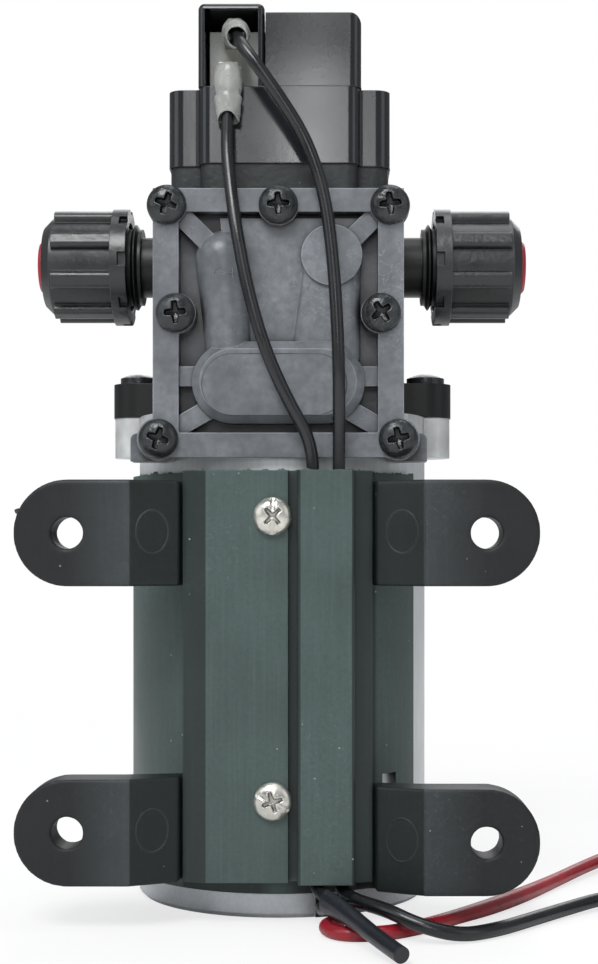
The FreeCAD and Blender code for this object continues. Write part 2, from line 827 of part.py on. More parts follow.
brush = block("brush_right", (BRUSH_START, BRUSH_END), ("-brush_half_width", "brush_half_width"),
              (BRUSH_LOW, BRUSH_TOP))
keep("brushes", group("brushes", [brush, mirrored("brush_left", brush, Vector(1, 0, 0))]))
brush_spring = rod("brush_spring_right", "x", "brush_spring_radius", BRUSH_END,
                   "holder_reach - holder_wall", ("0", f"({BRUSH_LOW} + {BRUSH_TOP}) / 2"))
keep("brush_springs", group("brush_springs", [
    brush_spring, mirrored("brush_spring_left", brush_spring, Vector(1, 0, 0))]))

# Rotor: shaft, slotted core, windings in its slots and the commutator.
SHAFT_TOP = f"({CRANK_Z} + crank_height / 2)"
STACK_END = "(stack_low + stack_length)"
keep("motor_shaft", rod("motor_shaft", "z", "shaft_radius", "cap_height + shaft_floor", SHAFT_TOP))
core_disc = rod("core_disc", "z", f"{CAN_INNER} - fit_gap - magnet_depth - air_gap", "stack_low", STACK_END)
core_slots = []
for index in range(int(number("slot_count"))):
    slot = block(f"core_slot_{index}", ("0", "can_radius"), ("-slot_width / 2", "slot_width / 2"),
                 ("stack_low - 1", f"{STACK_END} + 1"))
    slot_cut = cut(f"core_slot_cut_{index}", slot, [
        rod(f"core_slot_floor_{index}", "z", "slot_floor", "stack_low - 2", f"{STACK_END} + 2")])
    slot_cut.Placement.Rotation = Rotation(Vector(0, 0, 1), 360 * index / number("slot_count"))
    core_slots.append(slot_cut)
core_slots.append(rod("core_bore", "z", "shaft_radius + seat_gap", "stack_low - 1", f"{STACK_END} + 1"))
armature = keep("armature_core", cut("armature_core", core_disc, core_slots))
winding_drum = rod("winding_drum", "z", "winding_radius", "stack_low - winding_overhang",
                   f"{STACK_END} + winding_overhang")
keep("armature_windings", cut("armature_windings", winding_drum, [
    armature,
    rod("winding_bore", "z", "shaft_radius + seat_gap", "stack_low - winding_overhang - 1",
        f"{STACK_END} + winding_overhang + 1"),
]))
COMMUTATOR_TOP = "(stack_low - winding_overhang - commutator_gap)"
keep("commutator", ring("commutator", "z", "commutator_radius", "shaft_radius + seat_gap",
                        f"{COMMUTATOR_TOP} - commutator_length", COMMUTATOR_TOP))

# Drive flange: a disc on the can, a bar with two ears, the seat of the front bearing.
flange_round = rod("flange_round", "z", "can_radius", CAN_TOP, FLANGE_TOP)
flange_bar = block("flange_bar", ("-can_radius - 1", "can_radius + 1"),
                   ("-flange_half_depth", "flange_half_depth"), (CAN_TOP, FLANGE_TOP))
flange_ears = []
for side in ("-", ""):
    word = "left" if side else "right"
    flange_ears.append(rod(f"flange_ear_{word}", "z", "ear_radius", CAN_TOP, FLANGE_TOP,
                           (f"{side}ear_offset", "0")))
flange_link = block("flange_link", ("-ear_offset", "ear_offset"), ("-ear_radius", "ear_radius"),
                    (CAN_TOP, FLANGE_TOP))
flange_solid = joined("flange_solid", [
    common("flange_middle", flange_round, flange_bar),
    rod("flange_disc_part", "z", "can_radius", CAN_TOP, f"{CAN_TOP} + flange_disc"),
    flange_link,
    ring("flange_spigot", "z", f"{CAN_INNER} - fit_gap", f"{CAN_INNER} - spigot_wall",
         f"{CAN_TOP} - spigot_depth", f"{CAN_TOP} + 0.5"),
] + flange_ears)
flange_cuts = [
    rod("flange_shaft_hole", "z", "shaft_radius + 1", f"{CAN_TOP} - 1", f"{FLANGE_TOP} + 1"),
    rod("flange_bearing_seat", "z", "front_bearing_radius + seat_gap",
        f"{FLANGE_TOP} - front_bearing_height", f"{FLANGE_TOP} + 1"),
]
for side, word in (("-", "left"), ("", "right")):
    flange_cuts.append(rod(f"flange_ear_hole_{word}", "z", "axial_shank + fit_gap",
                           f"{FLANGE_TOP} - axial_depth - 0.5", f"{FLANGE_TOP} + 1",
                           (f"{side}ear_offset", "0")))
    flange_cuts.append(rod(f"flange_cover_hole_{word}", "y", "cover_shank + fit_gap",
                           "-can_radius", "-body_half_depth + cover_screw_depth + screw_tip_room",
                           (f"{side}screw_low_across", f"{FLANGE_TOP} - screw_low_drop")))
    flange_cuts.append(rod(f"flange_rear_hole_{word}", "y", "cover_shank + fit_gap",
                           "body_half_depth - cover_screw_depth - screw_tip_room", "can_radius",
                           (f"{side}screw_low_across", f"{FLANGE_TOP} - screw_low_drop")))
keep("drive_flange", cut("drive_flange", flange_solid, flange_cuts))

# Axial screws through the ears of the pump body into the flange.
axial_screws = [
    pan_screw(f"axial_screw_{word}", "z", 1, "axial_head", "axial_head_height - 0.9", "0.9",
              "axial_shank", "ear_height + axial_depth", f"{FLANGE_TOP} + ear_height",
              (f"{side}ear_offset", "0"))
    for side, word in (("-", "left"), ("", "right"))
]
keep("flange_screws", group("flange_screws", axial_screws))

# Pump body: block, ears, two threaded port stubs, crank space, diaphragm bores and passages.
body_block = block("body_block", ("-body_half_width", "body_half_width"),
                   ("-body_half_depth", "body_half_depth"), (FLANGE_TOP, BODY_TOP))
body_parts = [body_block]
body_cuts = []
for side, word in (("-", "left"), ("", "right")):
    body_parts.append(rod(f"body_ear_{word}", "z", "ear_radius + pad_step", FLANGE_TOP,
                          f"{FLANGE_TOP} + ear_height", (f"{side}ear_offset", "0")))
    body_cuts.append(rod(f"body_ear_hole_{word}", "z", "axial_shank + fit_gap", f"{FLANGE_TOP} - 1",
                         f"{FLANGE_TOP} + ear_height + 1", (f"{side}ear_offset", "0")))
body_parts.append(block("body_ear_link", ("-ear_offset", "ear_offset"),
                        ("-ear_radius - pad_step", "ear_radius + pad_step"),
                        (FLANGE_TOP, f"{FLANGE_TOP} + ear_height")))


def port_outline():
    """Half the section of a port stub with its thread."""
    outline = [("body_half_width - 1", "0"), ("body_half_width - 1", "stub_radius"),
               ("thread_start", "stub_radius"), ("thread_start", "thread_root")]
    crests = int((number("thread_end") - number("thread_start") - 2 * number("thread_run_in"))
                 / number("thread_pitch"))
    for turn in range(crests):
        start = f"(thread_start + thread_run_in + {turn} * thread_pitch)"
        outline.append((f"{start} + thread_land", "thread_root"))
        outline.append((f"{start} + thread_pitch / 2 - thread_flat", "thread_crest"))
        outline.append((f"{start} + thread_pitch / 2 + thread_flat", "thread_crest"))
        outline.append((f"{start} + thread_pitch - thread_land", "thread_root"))
    outline.append(("thread_end", "thread_root"))
    outline.append(("thread_end", "0"))
    return outline


port_right = turned("port_right", port_outline(), "x", ("0", PORT_Z))
body_parts += [port_right, mirrored("port_left", port_right, Vector(1, 0, 0))]
port_bore = rod("port_bore_right", "x", "port_bore", "port_depth", "thread_end + 1", ("0", PORT_Z))
body_cuts += [port_bore, mirrored("port_bore_left", port_bore, Vector(1, 0, 0))]
for side, word in (("-", "left"), ("", "right")):
    body_cuts.append(rod(f"body_passage_{word}", "y", "passage_radius", "-body_half_depth - 1",
                         "body_half_depth + 1", (f"{side}passage_across", PORT_Z)))
body_cuts.append(rod("crank_space", "z", "crank_space_radius", f"{FLANGE_TOP} - 1",
                     f"{FLANGE_TOP} + crank_space_height"))
body_cuts.append(rod("body_diaphragm_bore", "y", "diaphragm_bore", "-body_half_depth - 1",
                     "body_half_depth + 1", ("0", CRANK_Z)))
body_cuts.append(rod("sensing_hole", "z", "1", PORT_Z, f"{BODY_TOP} + 1", ("port_depth + 0.5", "0")))
for index, (across, height) in enumerate(COVER_SCREWS[:5]):
    body_cuts.append(rod(f"body_thread_front_{index}", "y", "cover_shank + fit_gap", "-body_half_depth - 1",
                         "-body_half_depth + cover_screw_depth + screw_tip_room", (across, height)))
    body_cuts.append(rod(f"body_thread_rear_{index}", "y", "cover_shank + fit_gap",
                         "body_half_depth - cover_screw_depth - screw_tip_room", "body_half_depth + 1", (across, height)))
keep("pump_body", cut("pump_body", joined("body_solid", body_parts), body_cuts))

# Eccentric on the shaft, with its counterweight. Its sleeve is off the axis by the throw.
WEIGHT_LOW = f"({FLANGE_TOP} + counterweight_rise)"
WEIGHT_TOP = f"({WEIGHT_LOW} + counterweight_height)"
eccentric_solid = joined("eccentric_solid", [
    rod("eccentric_sleeve", "z", "crank_radius", WEIGHT_LOW, f"{CRANK_Z} + crank_height / 2", ("throw", "0")),
    common("counterweight",
           rod("counterweight_disc", "z", "counterweight_radius", WEIGHT_LOW, WEIGHT_TOP),
           block("counterweight_half", ("-counterweight_radius - 1", "0"),
                 ("-counterweight_radius - 1", "counterweight_radius + 1"), (WEIGHT_LOW, WEIGHT_TOP))),
])
keep("eccentric", cut("eccentric", eccentric_solid, [
    rod("eccentric_bore", "z", "shaft_radius + seat_gap", f"{WEIGHT_LOW} - 1", f"{CRANK_Z} + crank_height")]))

# Crank bearing and yoke, centred on the eccentric. The yoke drives both diaphragms.
keep("crank_bearing", ring("crank_bearing", "z", "crank_bearing_radius", "crank_radius + running_gap",
                           f"{CRANK_Z} - crank_bearing_height / 2", f"{CRANK_Z} + crank_bearing_height / 2",
                           ("throw", "0")))
yoke_levels = (f"{CRANK_Z} - yoke_height / 2", f"{CRANK_Z} + yoke_height / 2")
yoke_solid = joined("yoke_solid", [
    rod("yoke_ring", "z", "crank_bearing_radius + yoke_wall", *yoke_levels, ("throw", "0")),
    block("yoke_bar", ("throw - rod_half_width", "throw + rod_half_width"), ("-piston_low", "piston_low"),
          yoke_levels),
])
keep("yoke", cut("yoke", yoke_solid, [
    rod("yoke_bore", "z", "crank_bearing_radius + seat_gap", f"{CRANK_Z} - yoke_height",
        f"{CRANK_Z} + yoke_height", ("throw", "0"))]))
piston_end = "(piston_low + piston_thickness)"
washer = rod("piston_washer_rear", "y", "piston_radius", "piston_low", piston_end, ("throw", CRANK_Z))
screw_head = rod("piston_screw_rear", "y", "piston_screw_radius", piston_end,
                 f"{piston_end} + piston_screw_height", ("throw", CRANK_Z))
rear_piston = joined("rear_piston", [washer, screw_head])
keep("piston_plates", group("piston_plates", [
    rear_piston, mirrored("front_piston", rear_piston, Vector(0, 1, 0))]))


def stack_outline():
    """The outline that diaphragm, valve plate and cover share."""
    return [("-stack_half_width", STACK_LOW), ("stack_half_width", STACK_LOW),
            ("stack_half_width", STACK_TOP), ("-stack_half_width", STACK_TOP)]


def forward(low):
    """A distance towards the viewer as a place along Y."""
    return f"-({low})"


def front_rod(name, radius, low, high, at):
    """A cylinder that points to the viewer between two distances from the axis."""
    return rod(name, "y", radius, forward(high), forward(low), at)


def front_block(name, x, low, high, z):
    """A box between two distances from the axis, towards the viewer."""
    return block(name, x, (forward(high), forward(low)), z)


def stack_holes(name, low, high):
    """The screw holes through one layer of the front stack."""
    return [front_rod(f"{name}_screw_{index}", "cover_shank + fit_gap", f"{low} - 1", f"{high} + 1", at)
            for index, at in enumerate(COVER_SCREWS)]


def passages(name, low, high):
    """The two flow holes through one layer of the front stack."""
    return [front_rod(f"{name}_flow_{word}", "passage_radius", f"{low} - 1", f"{high} + 1",
                      (f"{side}passage_across", PORT_Z))
            for side, word in (("-", "left"), ("", "right"))]


def can_room(name):
    """Room for the motor can and the flange's disc, under the stack of a cover."""
    return rod(f"{name}_can_room", "z", "can_radius + 0.3", f"{CAN_TOP} - 5", STACK_LOW)


CORNERS = [(f"{side}screw_low_across", f"{FLANGE_TOP} - screw_low_drop") for side in ("-", "")]

# Diaphragm: a rubber sheet with a hole, which the piston washers fill as they move.
rubber = prism("rubber_sheet", "XZ_Plane", stack_outline(), "body_half_depth", RUBBER_FACE)
front_diaphragm = cut("front_diaphragm", rubber,
                      stack_holes("rubber", "body_half_depth", RUBBER_FACE)
                      + passages("rubber", "body_half_depth", RUBBER_FACE)
                      + [front_rod("membrane_hole_cut", "membrane_hole", "body_half_depth - 1",
                                   f"{RUBBER_FACE} + 1", ("0", CRANK_Z))])
keep("diaphragms", both("diaphragms", front_diaphragm))

# Valve plate: the pumping chamber on its inside and the seats of two umbrella valves.
SEAT_DEPTH = f"({RUBBER_FACE} + pumping_depth)"
plate_bosses = [front_rod(f"plate_boss_{index}", "corner_boss", f"{PLATE_FACE} - 2", PLATE_FACE, at)
                for index, at in enumerate(CORNERS)]
plate_solid = joined("plate_solid", [
    prism("plate_slab", "XZ_Plane", stack_outline(), RUBBER_FACE, PLATE_FACE)] + plate_bosses)
VALVES = [("-valve_across", VALVE_Z), ("valve_across", VALVE_Z)]
plate_cuts = stack_holes("plate", RUBBER_FACE, PLATE_FACE) + passages("plate", RUBBER_FACE, PLATE_FACE)
plate_cuts.append(front_rod("pumping_chamber", "pumping_radius", f"{RUBBER_FACE} - 1", SEAT_DEPTH,
                            ("0", CRANK_Z)))
for index, (across, height) in enumerate(VALVES):
    plate_cuts.append(front_rod(f"valve_bore_{index}", "valve_stem + fit_gap", f"{SEAT_DEPTH} - 1",
                                f"{PLATE_FACE} + 1", (across, height)))
    for hole in range(4):
        angle = math.radians(45 + 90 * hole)
        plate_cuts.append(front_rod(f"valve_flow_{index}_{hole}", "0.6", f"{SEAT_DEPTH} - 1", f"{PLATE_FACE} + 1",
                                    (f"{across} + 2 * {math.cos(angle):.4f}",
                                     f"{height} + 2 * {math.sin(angle):.4f}")))
plate_cuts.append(can_room("plate"))
keep("valve_plates", both("valve_plates", cut("front_valve_plate", plate_solid, plate_cuts)))

# Umbrella valves: the inlet's disc lies inside the pumping chamber, the outlet's outside.
valves = []
for index, (across, height) in enumerate(VALVES):
    disc_low = f"{SEAT_DEPTH} - valve_thickness" if index == 0 else PLATE_FACE
    bulb_low = PLATE_FACE if index == 0 else f"{SEAT_DEPTH} - 0.5"
    valves.append(joined(f"front_valve_{index}", [
        front_rod(f"valve_disc_{index}", "valve_radius", disc_low, f"{disc_low} + valve_thickness",
                  (across, height)),
        front_rod(f"valve_stem_{index}", "valve_stem", f"{SEAT_DEPTH} - 0.5", f"{PLATE_FACE} + 0.5",
                  (across, height)),
        front_rod(f"valve_bulb_{index}", "valve_bulb", bulb_low, f"{bulb_low} + 0.5", (across, height)),
    ]))
keep("umbrella_valves", both("umbrella_valves", group("front_valves", valves)))

# Seal ring between valve plate and cover, round the two chambers of the cover.
def stadium(name, half_width, radius, low, high, height):
    """A plate with round ends, towards the viewer."""
    across = f"({half_width}) - ({radius})"
    return joined(name, [
        front_block(f"{name}_middle", (f"-({across})", across), low, high,
                    (f"{height} - ({radius})", f"{height} + ({radius})")),
        front_rod(f"{name}_left", radius, low, high, (f"-({across})", height)),
        front_rod(f"{name}_right", radius, low, high, (across, height)),
    ])


INNER_HALF = "(chamber_half_width - chamber_wall)"
INNER_RADIUS = "(chamber_radius - chamber_wall)"
SEAL_TOP = f"({PLATE_FACE} + seal_depth)"
seal = cut("front_cover_seal",
           stadium("seal_outer", f"{INNER_HALF} + seal_inset + seal_width",
                   f"{INNER_RADIUS} + seal_inset + seal_width", PLATE_FACE, SEAL_TOP, CHAMBER_Z),
           [stadium("seal_inner", f"{INNER_HALF} + seal_inset", f"{INNER_RADIUS} + seal_inset",
                    f"{PLATE_FACE} - 1", f"{SEAL_TOP} + 1", CHAMBER_Z)])
keep("cover_seals", both("cover_seals", seal))

# Cover: slab, raised rim, plateau, oval chamber, two tubes, disc and ribs.
RIM_IN = "(stack_half_width - rim_width)"
RIM_TOP_IN = f"({STACK_TOP} - rim_width + rim_top_shift)"
RIM_LOW_IN = f"({STACK_LOW} + rim_low_rise)"
COVER_LOW = f"({STACK_LOW} - lip_drop)"
PLATEAU = f"({COVER_FLOOR} + plateau_height)"
TUBE_Z = f"({FLANGE_TOP} + tube_rise)"
DISC_Z = f"({FLANGE_TOP} + disc_rise)"
cover_parts = [
    prism("cover_slab_pad", "XZ_Plane", stack_outline(), PLATE_FACE, COVER_FLOOR),
    front_block("rim_left", ("-stack_half_width", f"-{RIM_IN}"), f"{COVER_FLOOR} - 1", RIM_FACE,
                (STACK_LOW, STACK_TOP)),
    front_block("rim_right", (RIM_IN, "stack_half_width"), f"{COVER_FLOOR} - 1", RIM_FACE,
                (STACK_LOW, STACK_TOP)),
    front_block("rim_top", ("-stack_half_width", "stack_half_width"), f"{COVER_FLOOR} - 1", RIM_FACE,
                (RIM_TOP_IN, STACK_TOP)),
    front_block("rim_bottom", ("-stack_half_width", "stack_half_width"), f"{COVER_FLOOR} - 1", RIM_FACE,
                (STACK_LOW, RIM_LOW_IN)),
    front_block("rim_lip", ("-stack_half_width", "stack_half_width"), f"{RIM_FACE} - lip_depth", RIM_FACE,
                (COVER_LOW, f"{STACK_LOW} + 0.5")),
]
for index, at in enumerate(CORNERS):
    cover_parts.append(front_rod(f"cover_boss_{index}", "corner_boss", PLATE_FACE, RIM_FACE, at))
for side in (-1, 1):
    pad = sorted([f"{side} * screw_low_across", f"{side} * (screw_low_across + corner_pad)"], key=number)
    pad_block = front_block(f"corner_pad_{side + 1}", pad, PLATE_FACE, f"{COVER_FLOOR} + 1",
                            (f"{CORNERS[0][1]} - corner_pad_low", f"{CORNERS[0][1]} + corner_pad_high"))
    cover_parts.append(rounded(f"corner_pad_round_{side + 1}", pad_block, "corner_pad_high", lambda edge: (
        runs_along(edge, "y") and abs(edge.BoundBox.XMin) > number("screw_low_across + 1")
        and edge.BoundBox.ZMin > number(CORNERS[0][1]))))
for index, at in enumerate(COVER_SCREWS[:5]):
    cover_parts.append(front_rod(f"screw_pad_{index}", "cover_head + 0.1", COVER_FLOOR, RIM_FACE, at))
cover_parts.append(prism("cover_plateau", "XZ_Plane", [
    ("-plateau_low_left", f"{CHAMBER_Z} + plateau_start"),
    ("plateau_low_right", f"{CHAMBER_Z} + plateau_start"),
    ("plateau_low_right", f"{CHAMBER_Z} + plateau_step"),
    ("plateau_shoulder", f"{CHAMBER_Z} + plateau_shoulder_rise"),
    ("plateau_right", f"{RIM_TOP_IN} - plateau_margin"),
    ("-plateau_left", f"{RIM_TOP_IN} - plateau_margin"),
], f"{COVER_FLOOR} - 1", PLATEAU))
chamber_plain = stadium("chamber_plain", "chamber_half_width", "chamber_radius", f"{COVER_FLOOR} - 1",
                        f"{CHAMBER_FACE} - chamber_bevel", CHAMBER_Z)
cover_parts.append(chamber_plain)
# The bevel of the chamber: the same outline, drawn in as it rises.
slope_across = "(chamber_half_width - chamber_radius)"
bevel_low = f"{CHAMBER_FACE} - chamber_bevel"
for word, side in (("left", "-"), ("right", "")):
    cover_parts.append(taper(f"chamber_bevel_{word}", "y", "chamber_radius - chamber_bevel", "chamber_radius",
                             forward(CHAMBER_FACE), forward(bevel_low), (f"{side}{slope_across}", CHAMBER_Z)))
cover_parts.append(prism("chamber_bevel_middle", "YZ_Plane", [
    (forward(bevel_low), f"{CHAMBER_Z} - chamber_radius"),
    (forward(CHAMBER_FACE), f"{CHAMBER_Z} - chamber_radius + chamber_bevel"),
    (forward(CHAMBER_FACE), f"{CHAMBER_Z} + chamber_radius - chamber_bevel"),
    (forward(bevel_low), f"{CHAMBER_Z} + chamber_radius"),
], f"-{slope_across}", slope_across))
# Left tube: a slender cone that leans a little, closed by a dome at its top.
tube_low_z = f"({CHAMBER_Z} + 4)"
tube_rise = f"({TUBE_Z} - {tube_low_z})"
tube_lean = "(tube_across - tube_foot_across)"
left_tube = doc.addObject("Part::Cone", "left_tube")
tie(left_tube, "Radius1", "tube_foot_radius")
tie(left_tube, "Radius2", "tube_radius")
tie(left_tube, "Height", f"sqrt({tube_rise}^2 + {tube_lean}^2)")
left_tube.Placement = FreeCAD.Placement(Vector(0, 0, 0), Rotation(Vector(0, 1, 0), -4))
tie(left_tube, "Placement.Rotation.Angle", f"atan({tube_lean} / {tube_rise})")
tie(left_tube, "Placement.Base.x", "tube_foot_across")
tie(left_tube, "Placement.Base.y", forward(f"{COVER_FLOOR} + tube_axis_rise"))
tie(left_tube, "Placement.Base.z", tube_low_z)
tube_dome = doc.addObject("Part::Sphere", "tube_dome")
tie(tube_dome, "Radius", "tube_radius")
tie(tube_dome, "Placement.Base.x", "tube_across")
tie(tube_dome, "Placement.Base.y", forward(f"{COVER_FLOOR} + tube_axis_rise"))
tie(tube_dome, "Placement.Base.z", TUBE_Z)
# The half of tube and dome that would reach behind the slab is cut off there.
tube_room = front_block("tube_room", ("-stack_half_width", "0"), f"{PLATE_FACE} + 1", f"{RIM_FACE} + 10",
                        (STACK_LOW, STACK_TOP))
cover_parts.append(common("tube_part", joined("tube_whole", [left_tube, tube_dome]), tube_room))
cover_parts.append(front_rod("cover_disc", "disc_radius", f"{COVER_FLOOR} - 1", f"{COVER_FLOOR} + disc_proud",
                             ("disc_across", DISC_Z)))
# Right tube: flat in front, wider at its foot, with rounded flanks.
side_tube = prism("side_tube", "XZ_Plane", [
    ("disc_across - side_tube_lean - side_tube_foot", f"{CHAMBER_Z} + 4"),
    ("disc_across - side_tube_lean + side_tube_foot", f"{CHAMBER_Z} + 4"),
    ("disc_across + side_tube_head", DISC_Z),
    ("disc_across - side_tube_head", DISC_Z),
], f"{COVER_FLOOR} - 1", f"{COVER_FLOOR} + side_tube_height")
cover_parts.append(rounded("side_tube_rounded", side_tube, "side_tube_round", lambda edge: (
    lies_at(edge, "y", -number(f"{COVER_FLOOR} + side_tube_height"))
    and edge.BoundBox.ZLength > number("side_tube_foot"))))
# Ribs: four slanted ones at the corners and two level ones beside the chamber.
rib_top = f"({COVER_FLOOR} + rib_height)"


def slanted_rib(name, side, start, end):
    """A rib between two places on the cover, of even width."""
    length = math.hypot(number(end[0]) - number(start[0]), number(end[1]) - number(start[1]))
    over_x = f"(({end[1]}) - ({start[1]})) / {length:.4f} * rib_width / 2"
    over_z = f"(({end[0]}) - ({start[0]})) / {length:.4f} * rib_width / 2"
    corners = []
    for spot, sign in ((start, 1), (end, 1), (end, -1), (start, -1)):
        corners.append((f"{side} * (({spot[0]}) + {sign} * {over_x})", f"({spot[1]}) - {sign} * {over_z}"))
    return prism(name, "XZ_Plane", corners, f"{COVER_FLOOR} - 1", rib_top)


for side, word in ((-1, "left"), (1, "right")):
    cover_parts.append(slanted_rib(f"rib_top_{word}", side, ("rib_top_in", f"{STACK_TOP} - rib_top_in_drop"),
                                   ("rib_top_out", f"{STACK_TOP} - rib_top_out_drop")))
    cover_parts.append(slanted_rib(f"rib_low_{word}", side, ("rib_low_in", f"{CHAMBER_Z} - rib_low_in_drop"),
                                   ("rib_low_out", f"{STACK_LOW} + rib_low_out_rise")))
    across = sorted(["chamber_half_width - 1", f"{RIM_IN} + 0.5"], key=number)
    ends = [f"{side} * ({each})" for each in across]
    cover_parts.append(front_block(f"rib_level_{word}", sorted(ends, key=number), f"{COVER_FLOOR} - 1", rib_top,
                                   (f"{CHAMBER_Z} - rib_level_low", f"{CHAMBER_Z} + rib_level_top")))
cover_solid = joined("cover_solid", cover_parts)
# Inside: two chambers split by a web, and the ways up to the flow holes of the plate.
cover_cuts = stack_holes("cover", PLATE_FACE, RIM_FACE)
inner = stadium("chamber_inner", INNER_HALF, INNER_RADIUS, f"{PLATE_FACE} - 1",
                f"{CHAMBER_FACE} - chamber_wall", CHAMBER_Z)
cover_cuts.append(cut("chamber_rooms", inner, [
    front_block("chamber_web", ("-chamber_split / 2", "chamber_split / 2"), f"{PLATE_FACE} - 2",
                f"{CHAMBER_FACE} + 1", (STACK_LOW, STACK_TOP))]))
for side, word in (("-", "left"), ("", "right")):
    cover_cuts.append(front_rod(f"cover_flow_{word}", "passage_radius", f"{PLATE_FACE} - 1",
                                f"{COVER_FLOOR} - flow_depth", (f"{side}passage_across", PORT_Z)))
    cover_cuts.append(rod(f"cover_way_{word}", "z", "way_radius", CHAMBER_Z, PORT_Z,
                          (f"{side}passage_across", forward(f"({PLATE_FACE} + {COVER_FLOOR}) / 2 - 0.2"))))
cover_cuts.append(cut("seal_groove",
                      stadium("groove_outer", f"{INNER_HALF} + seal_inset + seal_width + fit_gap",
                              f"{INNER_RADIUS} + seal_inset + seal_width + fit_gap", f"{PLATE_FACE} - 1",
                              f"{SEAL_TOP} + fit_gap", CHAMBER_Z),
                      [stadium("groove_inner", f"{INNER_HALF} + seal_inset - fit_gap",
                               f"{INNER_RADIUS} + seal_inset - fit_gap", f"{PLATE_FACE} - 2",
                               f"{SEAL_TOP} + 2", CHAMBER_Z)]))
cover_cuts.append(can_room("cover"))
front_cover = keep("front_cover", cut("front_cover", cover_solid, cover_cuts))
keep("rear_cover", mirrored("rear_cover", front_cover, Vector(0, 1, 0)))

# Cover screws: seven through each cover into body and flange.
cover_screws = [
    pan_screw(f"cover_screw_{index}", "y", -1, "cover_head", "cover_head_side", "cover_head_dome", "cover_shank",
              f"{RIM_FACE} - body_half_depth + cover_screw_depth", forward(RIM_FACE), at)
    for index, at in enumerate(COVER_SCREWS)
]
keep("cover_screws", both("cover_screws", group("front_cover_screws", cover_screws)))

# Pressure switch: base plate and housing with three lobes to the front and the back.


def lobed(name, low, high, shrink):
    """A layer with the outline of the switch, a cross with rounded corners."""
    layer = joined(f"{name}_cross", [
        block(f"{name}_long", (f"-lobe_half_width + {shrink}", f"lobe_half_width - {shrink}"),
              (f"-lobe_half_depth + {shrink}", f"lobe_half_depth - {shrink}"), (low, high)),
        block(f"{name}_wide", (f"-side_half_width + {shrink}", f"side_half_width - {shrink}"),
              (f"-side_half_depth + {shrink}", f"side_half_depth - {shrink}"), (low, high)),
    ])
    sides = rounded(f"{name}_sides", layer, "lobe_round", lambda edge: (
        runs_along(edge, "z") and abs(edge.BoundBox.XMin) > number("side_half_width - 1")))
    fronts = rounded(f"{name}_fronts", sides, "front_lobe_round", lambda edge: (
        runs_along(edge, "z") and abs(edge.BoundBox.YMin) > number("lobe_half_depth - 1")))
    return rounded(f"{name}_round", fronts, "lobe_inner_round", lambda edge: (
        runs_along(edge, "z") and abs(abs(edge.BoundBox.XMin) - number("lobe_half_width")) < 0.4
        and abs(abs(edge.BoundBox.YMin) - number("side_half_depth")) < 0.4))


SENSOR_TOP = f"({BODY_TOP} + sensor_thickness)"
base_cuts = [
    rod("sensor_seat", "z", "sensor_radius + fit_gap", f"{BODY_TOP} - 1", SENSOR_TOP),
    rod("plunger_room", "z", "plunger_radius + plunger_gap", f"{BODY_TOP} - 1", f"{BASE_TOP} + 1"),
]
keep("switch_base", cut("switch_base", lobed("base_layer", BODY_TOP, BASE_TOP, "0.3"), base_cuts))
PLUNGER_LOW = f"({SENSOR_TOP} + fit_gap)"
PLATE_TOP = f"({PLUNGER_LOW} + plunger_plate)"
SEAT_LOW = f"({HOUSING_TOP} - spring_seat_height)"
STEM_TOP = f"({HOUSING_TOP} - plunger_stroke - stem_gap)"
keep("switch_housing", cut("switch_housing", lobed("housing_layer", BASE_TOP, HOUSING_TOP, "0"), [
    rod("spring_room", "z", "spring_space", f"{BASE_TOP} - 1", f"{HOUSING_TOP} + 1")]))
keep("switch_diaphragm", rod("switch_diaphragm", "z", "sensor_radius", BODY_TOP, f"{SENSOR_TOP} - fit_gap"))
keep("switch_piston", joined("switch_piston", [
    rod("plunger_disc", "z", "plunger_radius", PLUNGER_LOW, PLATE_TOP),
    rod("plunger_rod", "z", "plunger_stem", PLUNGER_LOW, STEM_TOP),
]))
keep("switch_spring", ring("switch_spring", "z", "switch_spring_outer", "switch_spring_inner",
                           f"{PLATE_TOP} + fit_gap", f"{SEAT_LOW} - fit_gap"))
keep("spring_seat", ring("spring_seat", "z", "spring_space - fit_gap", "plunger_stem + plunger_gap",
                         SEAT_LOW, HOUSING_TOP))

# Switch cap over the microswitch, and the shroud over its terminals.
MICRO_LOW = f"({HOUSING_TOP} + micro_rise)"
MICRO_TOP = f"({MICRO_LOW} + micro_height)"
cap_box = block("switch_cap_box", ("cap_left", "cap_right"), ("-shroud_half_depth", "shroud_back"),
                (HOUSING_TOP, f"{HOUSING_TOP} + switch_cap_height"))
cap_rounded = rounded("switch_cap_rounded", cap_box, "cap_round", lambda edge: (
    lies_at(edge, "z", number(f"{HOUSING_TOP} + switch_cap_height")) or runs_along(edge, "z")
) and edge.BoundBox.XMin > number("cap_left") + 0.1)
micro_room = block("micro_room", ("micro_left - fit_gap", "micro_right + fit_gap"),
                   ("micro_front - fit_gap", "micro_back + fit_gap"),
                   (f"{HOUSING_TOP} - 1", f"{MICRO_TOP} + fit_gap"))
keep("switch_cap", cut("switch_cap", cap_rounded, [
    micro_room,
    block("cap_shroud_gap", ("cap_left - 1", "shroud_right + fit_gap"), ("-30", "30"),
          (f"{HOUSING_TOP} - 1", f"{SHROUD_TOP} + 1")),
]))
shroud_box = block("shroud_box", ("shroud_left", "shroud_right"), ("-shroud_half_depth", "shroud_back"),
                   (HOUSING_TOP, SHROUD_TOP))
shroud_rounded = rounded("shroud_rounded", shroud_box, "shroud_wall", lambda edge: (
    lies_at(edge, "z", number(SHROUD_TOP)) or runs_along(edge, "z")))
